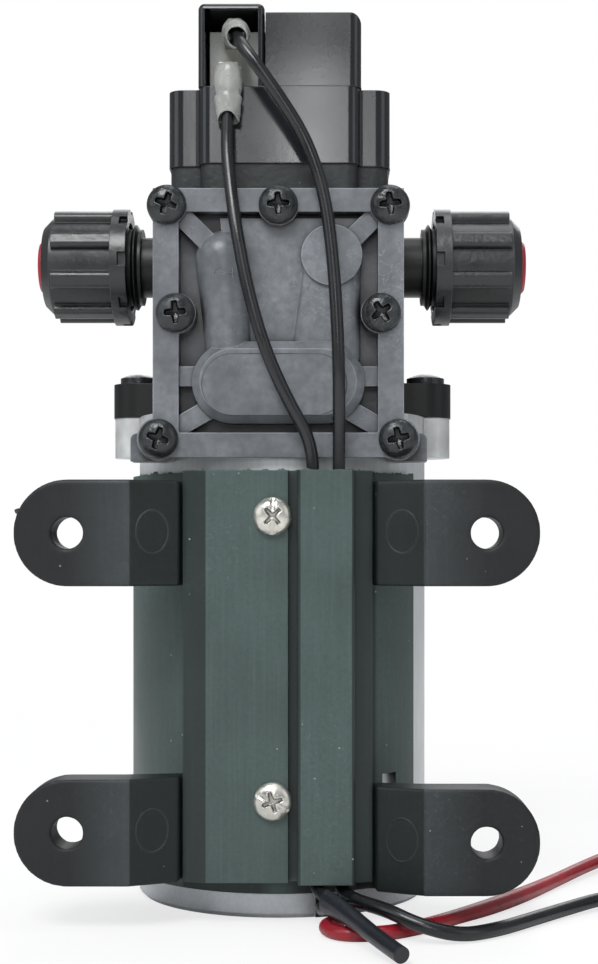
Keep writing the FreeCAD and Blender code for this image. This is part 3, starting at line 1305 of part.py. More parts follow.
keep("terminal_shroud", cut("terminal_shroud", shroud_rounded, [
    block("shroud_room", ("shroud_left + shroud_wall", "shroud_right - shroud_wall"),
          ("-shroud_half_depth - 1", "shroud_back - shroud_wall"),
          (f"{HOUSING_TOP} - 1", f"{SHROUD_TOP} - shroud_wall")),
    block("shroud_window", ("shroud_right - shroud_wall - 1", "shroud_right + 1"),
          ("micro_front - fit_gap", "micro_back + fit_gap"), (f"{HOUSING_TOP} - 1", f"{MICRO_TOP} + fit_gap")),
]))
BUTTON_ROOM = "(button_radius + plunger_gap)"
keep("microswitch_body", cut("microswitch_body",
     block("micro_block", ("micro_left", "micro_right"), ("micro_front", "micro_back"), (MICRO_LOW, MICRO_TOP)),
     [rod("button_room", "z", BUTTON_ROOM, f"{MICRO_LOW} - 1",
          f"{MICRO_LOW} + button_depth")]))
keep("microswitch_button", rod("microswitch_button", "z", "button_radius", f"{STEM_TOP} + fit_gap",
                               f"{MICRO_LOW} + button_depth - plunger_stroke - button_spare"))
UPPER_Z = f"({HOUSING_TOP} + upper_blade_rise)"
LOWER_Z = f"({HOUSING_TOP} + lower_blade_rise)"
upper_blade = block("upper_blade", ("upper_blade_across - blade_width / 2", "upper_blade_across + blade_width / 2"),
                    (forward("upper_blade_end"), "micro_front"),
                    (f"{UPPER_Z} - blade_thickness / 2", f"{UPPER_Z} + blade_thickness / 2"))
lower_x = ("lower_blade_across - blade_width / 2", "lower_blade_across + blade_width / 2")
lower_front = (forward("lower_blade_front + blade_thickness / 2"), forward("lower_blade_front - blade_thickness / 2"))
lower_blade = joined("lower_blade", [
    block("lower_blade_out", lower_x, (lower_front[0], "micro_front"),
          (f"{LOWER_Z} - blade_thickness / 2", f"{LOWER_Z} + blade_thickness / 2")),
    block("lower_blade_down", lower_x, lower_front,
          (f"{HOUSING_TOP} - lower_blade_end", f"{LOWER_Z} + blade_thickness / 2")),
])
keep("switch_terminals", group("switch_terminals", [upper_blade, lower_blade]))
upper_sleeve = cut("upper_sleeve",
                   taper("upper_sleeve_body", "y", "sleeve_radius", "sleeve_mouth",
                         forward("upper_sleeve_start + sleeve_length"), forward("upper_sleeve_start"),
                         ("upper_blade_across", UPPER_Z)),
                   [rod("upper_sleeve_bore", "y", "sleeve_bore", forward("upper_sleeve_start + sleeve_length + 1"),
                        forward("upper_sleeve_start - 1"), ("upper_blade_across", UPPER_Z))])
LOWER_SLEEVE_TOP = f"({LOWER_Z} - blade_thickness / 2 - fit_gap)"
lower_sleeve = cut("lower_sleeve",
                   taper("lower_sleeve_body", "z", "sleeve_radius - sleeve_taper", "sleeve_mouth",
                         f"{LOWER_SLEEVE_TOP} - sleeve_length", LOWER_SLEEVE_TOP,
                         ("lower_blade_across", forward("lower_blade_front + sleeve_shift"))),
                   [rod("lower_sleeve_bore", "z", "sleeve_bore", f"{LOWER_SLEEVE_TOP} - sleeve_length - 1",
                         f"{LOWER_SLEEVE_TOP} + 1",
                        ("lower_blade_across", forward("lower_blade_front + sleeve_shift")))])
keep("terminal_sleeves", group("terminal_sleeves", [upper_sleeve, lower_sleeve]))

# Union nut: flange, body with ribs, end wall with a hole for the plug.
NUT_BORE = "(thread_crest + nut_thread_gap)"
NUT_INNER_END = "(nut_end - nut_wall_end)"
nut_turned = turned("nut_turned", [
    ("nut_start", "0"), ("nut_start", "nut_flange"), ("nut_start + nut_flange_length", "nut_flange"),
    ("nut_start + nut_flange_length", "nut_radius"), ("nut_end - nut_round", "nut_radius"),
    ("nut_end", "nut_radius - nut_round"), ("nut_end", "0"),
], "x", ("0", PORT_Z))
nut_parts = [nut_turned]
nut_cuts = [
    rod("nut_bore", "x", NUT_BORE, "nut_start - 1", NUT_INNER_END, ("0", PORT_Z)),
    rod("nut_mouth", "x", "plug_radius + plug_gap", "nut_start - 1", "nut_end + 1", ("0", PORT_Z)),
]
for index in range(int(number("nut_ribs"))):
    turn = 360 * (index + 0.5) / number("nut_ribs")
    rib = block(f"nut_rib_{index}", ("nut_start + nut_flange_length - 0.5", "nut_rib_end"),
                ("-nut_rib_width / 2", "nut_rib_width / 2"), ("nut_radius - nut_rib_root", "nut_rib_radius"))
    rib_round = rounded(f"nut_rib_round_{index}", rib, "nut_rib_width * 0.3",
                        lambda edge: runs_along(edge, "x") and lies_at(edge, "z", number("nut_rib_radius")))
    rib_round.Placement.Rotation = Rotation(Vector(1, 0, 0), turn)
    tie(rib_round, "Placement.Base.z", PORT_Z)
    nut_parts.append(rib_round)
    gap = block(f"nut_notch_{index}", ("nut_start - 1", "nut_start + nut_flange_length / 2"),
                ("-notch_width / 2", "notch_width / 2"), ("nut_flange - notch_depth", "nut_flange + 1"))
    gap_turned = cut(f"nut_notch_turned_{index}", gap, [
        rod(f"nut_notch_floor_{index}", "x", "nut_flange - notch_depth", "nut_start - 2", "nut_end")])
    gap_turned.Placement.Rotation = Rotation(Vector(1, 0, 0), turn + 180 / number("nut_ribs"))
    tie(gap_turned, "Placement.Base.z", PORT_Z)
    nut_cuts.append(gap_turned)
right_nut = keep("right_union_nut", cut("right_union_nut", joined("nut_solid", nut_parts), nut_cuts))
keep("left_union_nut", mirrored("left_union_nut", right_nut, Vector(1, 0, 0)))

# Dust plug: a disc between port and nut, a spigot in the port, a nose in the nut's hole.
PLUG_DISC_END = "(plug_disc_start + plug_disc_thickness)"
right_plug = keep("right_dust_plug", turned("right_dust_plug", [
    ("thread_end - plug_spigot_length", "0"), ("thread_end - plug_spigot_length", "plug_spigot - plug_lead_in"),
    ("thread_end - plug_spigot_length + plug_lead_in", "plug_spigot"), ("plug_disc_start", "plug_spigot"),
    ("plug_disc_start", "plug_disc"), (PLUG_DISC_END, "plug_disc"), (PLUG_DISC_END, "plug_radius"),
    ("plug_end - plug_lead_in", "plug_radius"), ("plug_end", "plug_radius - plug_lead_in"), ("plug_end", "0"),
], "x", ("0", PORT_Z)))
keep("left_dust_plug", mirrored("left_dust_plug", right_plug, Vector(1, 0, 0)))

# Base: a saddle round the can, a rail with a slot along each side and a raised wire duct.
SADDLE_INNER = "(can_radius + saddle_gap)"
SADDLE_OUTER = "(can_radius + saddle_gap + saddle_wall)"
saddle = doc.addObject("Part::Cylinder", "saddle_sector")
tie(saddle, "Radius", SADDLE_OUTER)
tie(saddle, "Height", "saddle_top - cap_height - saddle_floor_gap")
tie(saddle, "Angle", "saddle_left + saddle_right")
tie(saddle, "Placement.Base.z", "cap_height + saddle_floor_gap")
tie(saddle, "Placement.Rotation.Angle", "-90 - saddle_left")
rail_levels = ("rail_low", "saddle_top")
rail_flange = prism("rail_flange_plate", "XY_Plane", [
    ("-rail_half_width", forward("rail_face - rail_flange")),
    ("-rail_half_width", forward("rail_face - rail_bevel_depth")),
    ("-rail_half_width + rail_bevel", forward("rail_face")),
    ("rail_half_width - rail_bevel", forward("rail_face")),
    ("rail_half_width", forward("rail_face - rail_bevel_depth")),
    ("rail_half_width", forward("rail_face - rail_flange")),
], *rail_levels)
rail_neck = front_block("rail_neck", ("-neck_half_width", "neck_half_width"), "can_radius - 6",
                        "rail_face - rail_flange + 0.5", rail_levels)
duct_box = front_block("duct_box", ("duct_left", "duct_right"), "duct_floor", "rail_face + duct_proud",
                       rail_levels)
duct_edges = rounded("duct_rounded", duct_box, "0.5", lambda edge: (
    runs_along(edge, "z") and lies_at(edge, "y", -number("rail_face + duct_proud"))))
base_solid = joined("base_solid", [saddle, rail_flange, rail_neck, duct_edges])
base_cuts = [
    rod("saddle_bore", "z", SADDLE_INNER, "0", f"{CAN_TOP}"),
    front_block("duct_room", ("duct_left + duct_wall", "duct_right - duct_wall"), "duct_floor",
                "rail_face + duct_proud - duct_wall", ("0", "saddle_top + 1")),
    front_block("rail_groove", ("groove_left", "duct_left"), "rail_face - groove_depth", "rail_face + 3",
                ("0", "saddle_top + 1")),
    block("saddle_vent", ("vent_across - vent_size / 2", "vent_across + vent_size / 2"),
          ("-can_radius", "0"), ("vent_height - vent_size / 2", "vent_height + vent_size / 2")),
] + [front_rod(f"base_hole_{index}", "base_screw_shank + fit_gap", "can_radius - 2", "rail_face + 1", at)
     for index, at in enumerate(base_screws_at)]
keep("base_rail", cut("base_rail", base_solid, base_cuts))
base_screws = [
    pan_screw(f"base_screw_{index}", "y", -1, "base_screw_head", "0.8", "1.2", "base_screw_shank",
              "base_screw_length", forward("rail_face"), at)
    for index, at in enumerate(base_screws_at)
]
keep("base_screws", group("base_screws", base_screws))


# Feet: a round-ended lug with a hole, a slope and a tongue in the rail's side slot.
def foot(name, side, height):
    """One rubber foot. Its outline is seen from above, then cut to its round end."""
    slot_face = "(rail_face - rail_flange - slot_gap)"
    outline = [
        ("tongue_inner", forward(slot_face)), ("rail_half_width + 0.5", forward(slot_face)),
        ("rail_half_width + 0.5", forward("foot_slope_face")), ("foot_bend", forward("foot_face")),
        ("foot_hole_across + foot_half_width", forward("foot_face")),
        ("foot_hole_across + foot_half_width", forward("foot_face - foot_thickness")),
        ("foot_bend + 1", forward("foot_face - foot_thickness")),
        ("tongue_inner + 4", forward(f"{slot_face} - tongue_thickness")),
        ("tongue_inner", forward(f"{slot_face} - tongue_thickness")),
    ]
    points = [(f"{side} * ({u})", v) for u, v in outline]
    plan = prism(f"{name}_plan", "XY_Plane", points, f"{height} - foot_half_width",
                 f"{height} + foot_half_width")
    ends = sorted([f"{side} * tongue_inner / 2", f"{side} * foot_hole_across"], key=number)
    front = joined(f"{name}_front", [
        front_block(f"{name}_straight", ends, "0", "foot_face + 1",
                    (f"{height} - foot_half_width", f"{height} + foot_half_width")),
        front_rod(f"{name}_tip", "foot_half_width", "0", "foot_face + 1",
                  (f"{side} * foot_hole_across", height)),
    ])
    trimmed = common(f"{name}_trimmed", plan, front)
    return keep(name, cut(name, trimmed, [
        front_rod(f"{name}_hole", "foot_hole", "0", "foot_face + 1", (f"{side} * foot_hole_across", height))]))


foot("foot_top_left", -1, "foot_high")
foot("foot_top_right", 1, "foot_high")
foot("foot_bottom_left", -1, "foot_low_left")
foot("foot_bottom_right", 1, "foot_low_right")

# Switch leads in the duct: two straight stretches. They end where the free leads start to bend.
DUCT_EXIT = "(rail_low + lead_bend_start)"
duct_leads = [
    rod(f"duct_lead_{word}", "z", "switch_lead_radius", DUCT_EXIT, "saddle_top",
        (f"duct_lead_{word}", "-duct_lead_back"))
    for word in ("left", "right")
]
keep("duct_leads", group("duct_leads", duct_leads))

doc.recompute()
THIN = number("switch_lead_radius")
THICK = number("lead_radius")
HEAD = number(CAN_TOP)
DUCT_TOP = number("saddle_top")
DUCT_LOW = number(DUCT_EXIT)
DUCT_Y = -number("duct_lead_back")
LEFT_X = number("duct_lead_left")
RIGHT_X = number("duct_lead_right")

# Switch lead from the upper terminal, down the front to the right place in the duct.
lead("switch_lead_upper", [
    (number("upper_blade_across"), -number("upper_blade_end"), number(UPPER_Z)),
    (number("upper_blade_across"), -27.8, HEAD + 71.95),
    (-6.6, -30.8, HEAD + 69.05),
    (-2.6, -32.4, HEAD + 63.25),
    (1.8, -31.9, HEAD + 57.05),
    (5.2, -31.4, HEAD + 51.25),
    (7.9, -31.9, HEAD + 42.85),
    (9.2, -33.0, HEAD + 32.85),
    (9.9, -33.6, HEAD + 22.85),
    (10.3, -33.6, HEAD + 12.85),
    (RIGHT_X, DUCT_Y, DUCT_TOP + 6),
    (RIGHT_X, DUCT_Y, DUCT_TOP),
], THIN)

# Switch lead from the lower terminal, down the front to the left place in the duct.
lead("switch_lead_lower", [
    (number("lower_blade_across"), -26.8, number(f"{HOUSING_TOP} - lower_blade_end")),
    (-8.9, -27.4, HEAD + 52.85),
    (-8.2, -29.6, HEAD + 45.45),
    (-6.9, -32.8, HEAD + 36.45),
    (-5.0, -33.6, HEAD + 26.65),
    (-2.3, -33.7, HEAD + 17.05),
    (1.6, -33.1, HEAD + 8.25),
    (LEFT_X, DUCT_Y, DUCT_TOP + 4.6),
    (LEFT_X, DUCT_Y, DUCT_TOP),
], THIN)


def exit_bend(across, heading, first_run=2.5):
    """Straight down out of the duct, then three equal turns forward along a heading seen from above."""
    spot = Vector(across, DUCT_Y, DUCT_LOW)
    way = Vector(heading[0], heading[1], 0).normalize()
    spots = [spot]
    for turned_by, run in ((0, first_run), (30, 2.0), (60, 2.0)):
        angle = math.radians(turned_by)
        spot = spot + way * (run * math.sin(angle)) - Vector(0, 0, run * math.cos(angle))
        spots.append(spot)
    return [tuple(each) for each in spots]


# Supply lead: out of the duct, over the red lead, along the floor to the right.
COIL_HEIGHT = THICK + number("tie_wall") + 0.1
lead("supply_lead_black", exit_bend(RIGHT_X, (1.0, -1.9)) + [
    (13.6, -37.4, 5.2),
    (18.0, -42.2, 4.9),
    (22.8, -44.9, 3.1),
    (29.4, -45.0, 1.35),
    (36.2, -40.4, 1.35),
    (42.8, -32.6, 1.35),
    (49.6, -24.6, 1.35),
    (56.6, -19.0, COIL_HEIGHT),
    (66.0, -12.4, COIL_HEIGHT),
], THICK - 0.05)
BLACK_STRANDS = coil("supply_lead_coil", (66.0, -12.4, COIL_HEIGHT), (9.4, 6.6), THICK - 0.05)

# Red lead: out of the grommet, a loop to the front, then along the floor to the right.
lead("motor_lead_red", [
    (number("lead_red_across"), -number("can_radius") + 0.1, number("lead_height")),
    (number("lead_red_across"), -29.4, number("lead_height")),
    (10.4, -34.4, 1.4),
    (7.4, -38.6, 1.35),
    (10.6, -44.2, 1.35),
    (17.6, -43.4, 1.35),
    (23.6, -38.8, 1.35),
    (30.2, -31.0, 1.35),
    (36.4, -23.4, 1.35),
    (43.4, -13.2, 1.35),
    (50.8, -0.6, 1.35),
    (58.8, 11.6, COIL_HEIGHT),
    (66.8, 24.4, COIL_HEIGHT),
], THICK)
RED_STRANDS = coil("motor_lead_coil", (66.8, 24.4, COIL_HEIGHT), (8.0, 12.8), THICK)

# Splice sleeve: a flared mouth that takes two leads side by side, a long closed tail on the floor.
SPLICE = [Vector(8.2, -37.0, 5.1), Vector(12.4, -45.4, 4.4), Vector(16.2, -52.8, 2.7), Vector(19.6, -59.4, 1.75)]
splice_edges, splice_radii = route([tuple(each) for each in SPLICE])
print("splice_sleeve radii", [round(each, 1) for each in splice_radii])
splice_tail = swept("splice_tail", splice_edges, number("splice_radius"))
splice_way = (SPLICE[1] - SPLICE[0]).normalize()
flare = doc.addObject("Part::Cone", "splice_flare")
tie(flare, "Radius1", "splice_mouth")
tie(flare, "Radius2", "splice_radius")
tie(flare, "Height", "splice_flare")
flare.Placement = FreeCAD.Placement(SPLICE[0], Rotation(Vector(0, 0, 1), splice_way))
tip = doc.addObject("Part::Sphere", "splice_tip")
tie(tip, "Radius", "splice_radius")
tip.Placement.Base = SPLICE[-1]
keep("splice_sleeve", joined("splice_sleeve", [splice_tail, flare, tip]))
splice_side = splice_way.cross(Vector(0, 0, 1).cross(splice_way)).normalize()
MOUTH_STEP = 1.12
# The switch lead enters above and the motor's lead below.
switch_end = SPLICE[0] + splice_side * MOUTH_STEP
motor_end = SPLICE[0] - splice_side * MOUTH_STEP
lead("switch_lead_tail", exit_bend(LEFT_X, splice_way, 1.7) + [
    tuple(switch_end - splice_way * 2.0),
    tuple(switch_end),
], THIN)
lead("motor_lead_black", [
    (number("lead_black_across"), -number("can_radius") + 0.1, number("lead_height")),
    (number("lead_black_across"), -29.4, number("lead_height")),
    tuple(motor_end - splice_way * 2.0),
    tuple(motor_end),
], THIN)

# Ties: one band round the turns of each coil, on the side away from the motor.


def coil_tie(name, inner, outer, middle_y, radius):
    """A square band round the turns of a coil, from its inner to its outer strand."""
    wall = number("tie_wall")
    half = number("tie_width") / 2
    room_radius = radius + 0.05
    low = COIL_HEIGHT - room_radius
    first = inner - room_radius
    across = outer - inner + 2 * room_radius
    room = Part.makeBox(across, 2 * half + 2, 2 * room_radius, Vector(first, middle_y - half - 1, low))
    shell = Part.makeBox(across + 2 * wall, 2 * half, 2 * room_radius + 2 * wall,
                         Vector(first - wall, middle_y - half, low - wall))
    band = doc.addObject("Part::Feature", name)
    band.Shape = shell.cut(room)
    return band


TIES = [coil_tie("supply_tie", *BLACK_STRANDS, THICK), coil_tie("motor_tie", *RED_STRANDS, THICK)]
keep("lead_ties", group("lead_ties", TIES))

doc.recompute()
failed = [item.Name for item in doc.Objects if {"Invalid", "Error"} & set(item.State)]
if failed:
    raise RuntimeError(f"failed objects: {failed}")
for item in pieces:
    if item.Shape.isNull() or not item.Shape.isValid() or not item.Shape.Solids:
        raise RuntimeError(f"{item.Label} has no valid solid")
os.makedirs("parts", exist_ok=True)
for item in pieces:
    item.Shape.exportStep(f"parts/{item.Label}.step")
print(len(pieces), "pieces")
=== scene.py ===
# %% [markdown]
# # A diaphragm pump, dressed for a studio picture
#
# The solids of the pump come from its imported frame: motor, pump head, pressure switch, base and leads,
# each as its own object. This script gives them their looks. It sets the camera, lays the leads, makes the
# soft pieces and writes a finish for every surface. Everything is in metres: Z runs up the motor's axis,
# and the side with the feet faces minus Y.

# %% Load the pump
import math
import bpy
import bmesh
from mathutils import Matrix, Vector, noise
from mathutils.bvhtree import BVHTree


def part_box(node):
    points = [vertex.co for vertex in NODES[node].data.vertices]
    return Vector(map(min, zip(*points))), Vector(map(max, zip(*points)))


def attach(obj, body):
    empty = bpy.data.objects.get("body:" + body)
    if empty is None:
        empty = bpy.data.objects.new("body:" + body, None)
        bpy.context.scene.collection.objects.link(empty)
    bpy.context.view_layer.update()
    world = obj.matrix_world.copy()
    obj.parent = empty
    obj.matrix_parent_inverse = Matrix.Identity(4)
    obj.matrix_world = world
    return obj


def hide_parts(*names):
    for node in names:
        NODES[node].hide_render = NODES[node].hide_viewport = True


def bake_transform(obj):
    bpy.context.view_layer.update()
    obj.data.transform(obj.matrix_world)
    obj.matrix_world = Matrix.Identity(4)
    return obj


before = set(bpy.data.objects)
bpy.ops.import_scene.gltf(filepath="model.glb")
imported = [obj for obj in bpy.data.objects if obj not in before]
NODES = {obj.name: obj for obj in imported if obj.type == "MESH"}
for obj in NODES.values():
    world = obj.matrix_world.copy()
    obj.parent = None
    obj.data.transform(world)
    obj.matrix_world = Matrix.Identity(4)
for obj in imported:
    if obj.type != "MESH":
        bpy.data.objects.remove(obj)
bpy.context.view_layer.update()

# %% [markdown]
# ## Camera
#
# The picture was taken from straight in front, about 0.3 m away, with the lens a little below the middle of
# the pump. A shift of the sensor keeps the upright edges upright, where tilting the camera would make them
# lean. The focal length follows from the perspective of the feet against the rail.

# %% Place the camera
LONG_SIDE = 964
SHIFT_PIXELS = (-26, 63)
CAMERA_SPOT = Vector((0.00795, -0.315, 0.064))
FOCAL_PIXELS = 1685
SENSOR = 36.0


def placed(name, data):
    """A new object for some data, linked to the scene."""
    made = bpy.data.objects.new(name, data)
    bpy.context.scene.collection.objects.link(made)
    return made


camera_data = bpy.data.cameras.new("studio_camera")
camera = placed("studio_camera", camera_data)
camera.location = CAMERA_SPOT
camera.rotation_euler = (math.radians(90), 0, 0)
camera_data.sensor_width = SENSOR
camera_data.lens = FOCAL_PIXELS / LONG_SIDE * SENSOR
camera_data.shift_x, camera_data.shift_y = (pixels / LONG_SIDE for pixels in SHIFT_PIXELS)
camera_data.clip_start = 0.01
bpy.context.scene.camera = camera
print("lens", round(camera_data.lens, 1), "mm")

# %% [markdown]
# ## Leads
#
# Two thin leads run from the switch down the front of the pump and through the duct of the base. Below, the
# supply lead comes out of the duct and the motor's lead out of the end cap, and both go off to the right, where
# the rest of each is wound into a flat coil. A NURBS curve of order 3 suits insulated wire: it is smooth, and
# it passes close to the points that guide it.

# %% A helper for leads
MM = 0.001
UP = Vector((0, 0, 1))
BACK = Vector((0, 1, 0))
CORE_SHARE = 0.4
# radii in millimetres
SUPPLY_RADIUS = 1.2
MOTOR_RADIUS = 1.25
SWITCH_RADIUS = 1.08


def spots(rows):
    """Points in millimetres, as vectors in metres."""
    return [Vector(row) * MM for row in rows]


def lead(name, points, radius, bare_from=None):
    """A round lead on a smooth open curve. The order comes after the points, or it would stay straight.

    The bevel is one metre deep and each point's own radius shrinks it, because Blender grows a curve's box by
    the radius of its points. From the point bare_from on, only the thin core of the lead runs on.
    """
    data = bpy.data.curves.new(name, "CURVE")
    data.dimensions = "3D"
    data.resolution_u = 12
    data.bevel_depth = 1.0
    data.bevel_resolution = 6
    data.use_fill_caps = True
    line = data.splines.new("NURBS")
    line.points.add(len(points) - 1)
    for count, (target, point) in enumerate(zip(line.points, points)):
        target.co = (*point, 1.0)
        target.radius = radius * MM
        if bare_from is not None and count >= bare_from:
            target.radius *= CORE_SHARE
    line.order_u = 3
    line.use_endpoint_u = True
    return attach(placed(name, data), "pump")


def run_length(piece):
    """The length of a curve's own line, measured on a copy without thickness."""
    bare = piece.copy()
    bare.data = piece.data.copy()
    bare.data.bevel_depth = 0
    mesh = bpy.data.meshes.new_from_object(bare)
    total = sum((mesh.vertices[e.vertices[0]].co - mesh.vertices[e.vertices[1]].co).length for e in mesh.edges)
    bpy.data.objects.remove(bare)
    bpy.data.meshes.remove(mesh)
    return total


# %% [markdown]
# A coil is more points of the lead's own curve. Each turn takes sixteen, on quarter circles whose radius
# shrinks by a step from one quarter to the next, so the turns lie side by side and never touch.

# %% Points for a flat coil
COIL_RADIUS = 15.0
COIL_STEP = 0.75
COIL_QUARTERS = 8
POINTS_PER_QUARTER = 4


def coil_points(start, heading):
    """Guide points of a coil that winds inwards, clockwise from above, in millimetres."""
    place = Vector((start[0], start[1], 0))
    angle = math.atan2(heading[1], heading[0])
    bend = COIL_RADIUS
    step = math.pi / 2 / POINTS_PER_QUARTER
    points = []
    for _ in range(COIL_QUARTERS):
        centre = place + Vector((math.sin(angle), -math.cos(angle), 0)) * bend
        outside = bend / math.cos(step / 2)
        for part in range(POINTS_PER_QUARTER):
            turned = angle + math.pi / 2 - step * (part + 0.5)
            points.append((centre.x + outside * math.cos(turned), centre.y + outside * math.sin(turned), start[2]))
        angle -= math.pi / 2
        place = centre + Vector((-math.sin(angle), math.cos(angle), 0)) * bend
        bend -= COIL_STEP
    points.append((place.x, place.y, start[2]))
    return points


print("turns of a coil:", COIL_QUARTERS / 4)

# %% [markdown]
# ### Supply lead
#
# It bends out of the duct, dips to the floor and swings to the right in front of the motor.

# %% Lay the supply lead
supply_points = [
    (10.3, -31, 10), (10.3, -31, 8.2), (10.766, -31.885, 6.468), (11.573, -33.417, 5.468),
    (13.6, -37.4, 5.2), (18, -42.2, 4.9), (22.8, -44.9, 3.1), (29.4, -45, 1.35), (36.2, -40.4, 1.35),
    (42.8, -32.6, 1.35), (49.6, -24.6, 1.35), (56.6, -19, 1.95), (66, -12.4, 1.95),
]
supply_coil = coil_points((66.0, -12.4, 1.95), (9.4, 6.6))
supply_lead = lead("supply_lead", spots(supply_points[:-1] + supply_coil), SUPPLY_RADIUS)
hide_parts("supply_lead_black", "supply_lead_coil")
supply_length = run_length(supply_lead)
print("supply lead", round(supply_length / MM, 1), "mm")

# %% [markdown]
# ### Motor lead
#
# The red lead leaves the motor through the end cap, shows below the base for a short way and goes behind the
# black one. A shrink sleeve over a joint makes it thicker for a few millimetres, which two points with a larger
# radius give.

# %% Lay the motor's red lead
SHRINK_SLEEVE = {"points": (8, 9), "growth": 1.15}
motor_points = [
    (11.6, -26.4, 1.9), (11.6, -29.4, 1.9), (10.4, -34.4, 1.4), (7.4, -38.6, 1.35), (10.6, -44.2, 1.35),
    (17.6, -43.4, 1.35), (23.6, -38.8, 1.35), (30.2, -31, 1.35), (36.4, -23.4, 1.35), (43.4, -13.2, 1.35),
    (50.8, -0.6, 1.35), (58.8, 11.6, 1.95), (66.8, 24.4, 1.95),
]
motor_coil = coil_points((66.8, 24.4, 1.95), (8.0, 12.8))
motor_lead = lead("motor_lead", spots(motor_points[:-1] + motor_coil), MOTOR_RADIUS)
for swollen in SHRINK_SLEEVE["points"]:
    motor_lead.data.splines[0].points[swollen].radius *= SHRINK_SLEEVE["growth"]
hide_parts("motor_lead_red", "motor_lead_coil")
motor_length = run_length(motor_lead)
print("motor lead", round(motor_length / MM, 1), "mm")

# %% [markdown]
# ### Switch leads
#
# They come out of their terminals at the top, cross the cover in long easy bends and go into the duct.

# %% Lay the two switch leads
upper_points = [
    (-7.9, -21, 153.2), (-7.0, -28.6, 150.4), (-5.9, -31.4, 148), (-2.6, -32.4, 143.4), (1.8, -31.9, 137.2),
    (5.2, -31.4, 131.4), (7.9, -31.9, 123), (9.2, -33, 113), (9.9, -33.6, 103), (10.3, -33.6, 93),
    (10.3, -31, 82.5), (10.3, -31, 76.5),
]
lower_points = [
    (-8.6, -26.8, 141.7), (-8.9, -27.4, 133), (-8.2, -29.6, 125.6), (-6.9, -32.8, 116.6), (-5, -33.6, 106.8),
    (-2.3, -33.7, 97.2), (1.6, -33.1, 88.4), (5.9, -31, 81.1), (5.9, -31, 76.5),
]
for label, points in (("upper", upper_points), ("lower", lower_points)):
    piece = lead(f"{label}_switch_lead", spots(points), SWITCH_RADIUS)
    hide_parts(f"switch_lead_{label}")
    length = run_length(piece)
    print(label, "switch lead", round(length / MM, 1), "mm")

# %% [markdown]
# ## Light and ground
#
# A pale sweep and broad soft lamps, as in a catalogue picture. World, floor and finishes are built from shader
# nodes. Linking those one by one takes many lines, so a few helpers come first: a node with its values, a
# calculation, a change of span and a blend of two shaders.

# %% Helpers for shader nodes
def node_of(tree, kind, **inputs):
    """A shader node with some of its inputs set."""
    made = tree.nodes.new(kind)
    for label, value in inputs.items():
        made.inputs[label.replace("_", " ")].default_value = value
    return made


def sum_of(tree, operation, first, second=0.0):
    """What one operation makes of two values, each a socket or a number."""
    made = tree.nodes.new("ShaderNodeMath")
    made.operation = operation
    for socket, value in zip(made.inputs, (first, second)):
        if isinstance(value, bpy.types.NodeSocket):
            tree.links.new(value, socket)
        else:
            socket.default_value = value
    return made.outputs[0]


def spread(tree, value, low, high, to_low=0.0, to_high=1.0):
    """A value moved from one span to another, and kept inside it."""
    made = tree.nodes.new("ShaderNodeMapRange")
    tree.links.new(value, made.inputs["Value"])
    for label, number in (("From Min", low), ("From Max", high), ("To Min", to_low), ("To Max", to_high)):
        made.inputs[label].default_value = number
    return made.outputs["Result"]


def blended(tree, share, first, second, kind="ShaderNodeOutputMaterial"):
    """Two shaders mixed by a share, as the output of a material or a world."""
    blend = tree.nodes.new("ShaderNodeMixShader")
    output = tree.nodes.new(kind)
    tree.links.new(share, blend.inputs["Fac"])
    tree.links.new(first.outputs[0], blend.inputs[1])
    tree.links.new(second.outputs[0], blend.inputs[2])
    tree.links.new(blend.outputs[0], output.inputs["Surface"])


# %% [markdown]
# The world is white where the camera and glass-like surfaces see it, and dimmer where it lights the pump, so that
# black plastic keeps its shape. The Light Path node tells the two apart.

# %% World
FILL_COLOUR = (0.94, 0.97, 1, 1)
FILL_STRENGTH = 0.3
world = bpy.data.worlds.new("studio")
bpy.context.scene.world = world
world.use_nodes = True
tree = world.node_tree
tree.nodes.clear()
seen = tree.nodes.new("ShaderNodeLightPath")
seen_white = sum_of(tree, "MAXIMUM", seen.outputs["Is Camera Ray"], seen.outputs["Is Transmission Ray"])
fill = node_of(tree, "ShaderNodeBackground", Color=FILL_COLOUR, Strength=FILL_STRENGTH)
white = node_of(tree, "ShaderNodeBackground", Color=(1, 1, 1, 1), Strength=1.0)
blended(tree, seen_white, fill, white, "ShaderNodeOutputWorld")
print("world fill:", FILL_STRENGTH)

# %% [markdown]
# The floor is matt paper. To the camera most of it glows white, so the picture's ground is white, and the rest
# still takes the pump's shadow. The glowing share grows with distance, or the far floor would show as a band.

# %% Floor
SPREAD = 3.0
PAPER_COLOUR = (0.86, 0.86, 0.86, 1)
GLOW_SPAN = (0.08, 0.45)
GLOW_SHARES = (0.72, 1.0)
floor_mesh = bpy.data.meshes.new("floor")
floor_mesh.from_pydata([(-SPREAD, -SPREAD, 0), (SPREAD, -SPREAD, 0), (SPREAD, SPREAD, 0), (-SPREAD, SPREAD, 0)],
                       [], [(0, 1, 2, 3)])
placed("floor", floor_mesh)
paper = bpy.data.materials.new("pale_floor")
paper.use_nodes = True
tree = paper.node_tree
tree.nodes.clear()
matt = node_of(tree, "ShaderNodeBsdfDiffuse", Color=PAPER_COLOUR)
glow = node_of(tree, "ShaderNodeEmission", Color=(1, 1, 1, 1), Strength=1.0)
away = tree.nodes.new("ShaderNodeVectorMath")
away.operation = "LENGTH"
tree.links.new(tree.nodes.new("ShaderNodeTexCoord").outputs["Object"], away.inputs[0])
seen = tree.nodes.new("ShaderNodeLightPath")
share = spread(tree, away.outputs["Value"], *GLOW_SPAN, *GLOW_SHARES)
blended(tree, sum_of(tree, "MULTIPLY", seen.outputs["Is Camera Ray"], share), matt, glow)
floor_mesh.materials.append(paper)
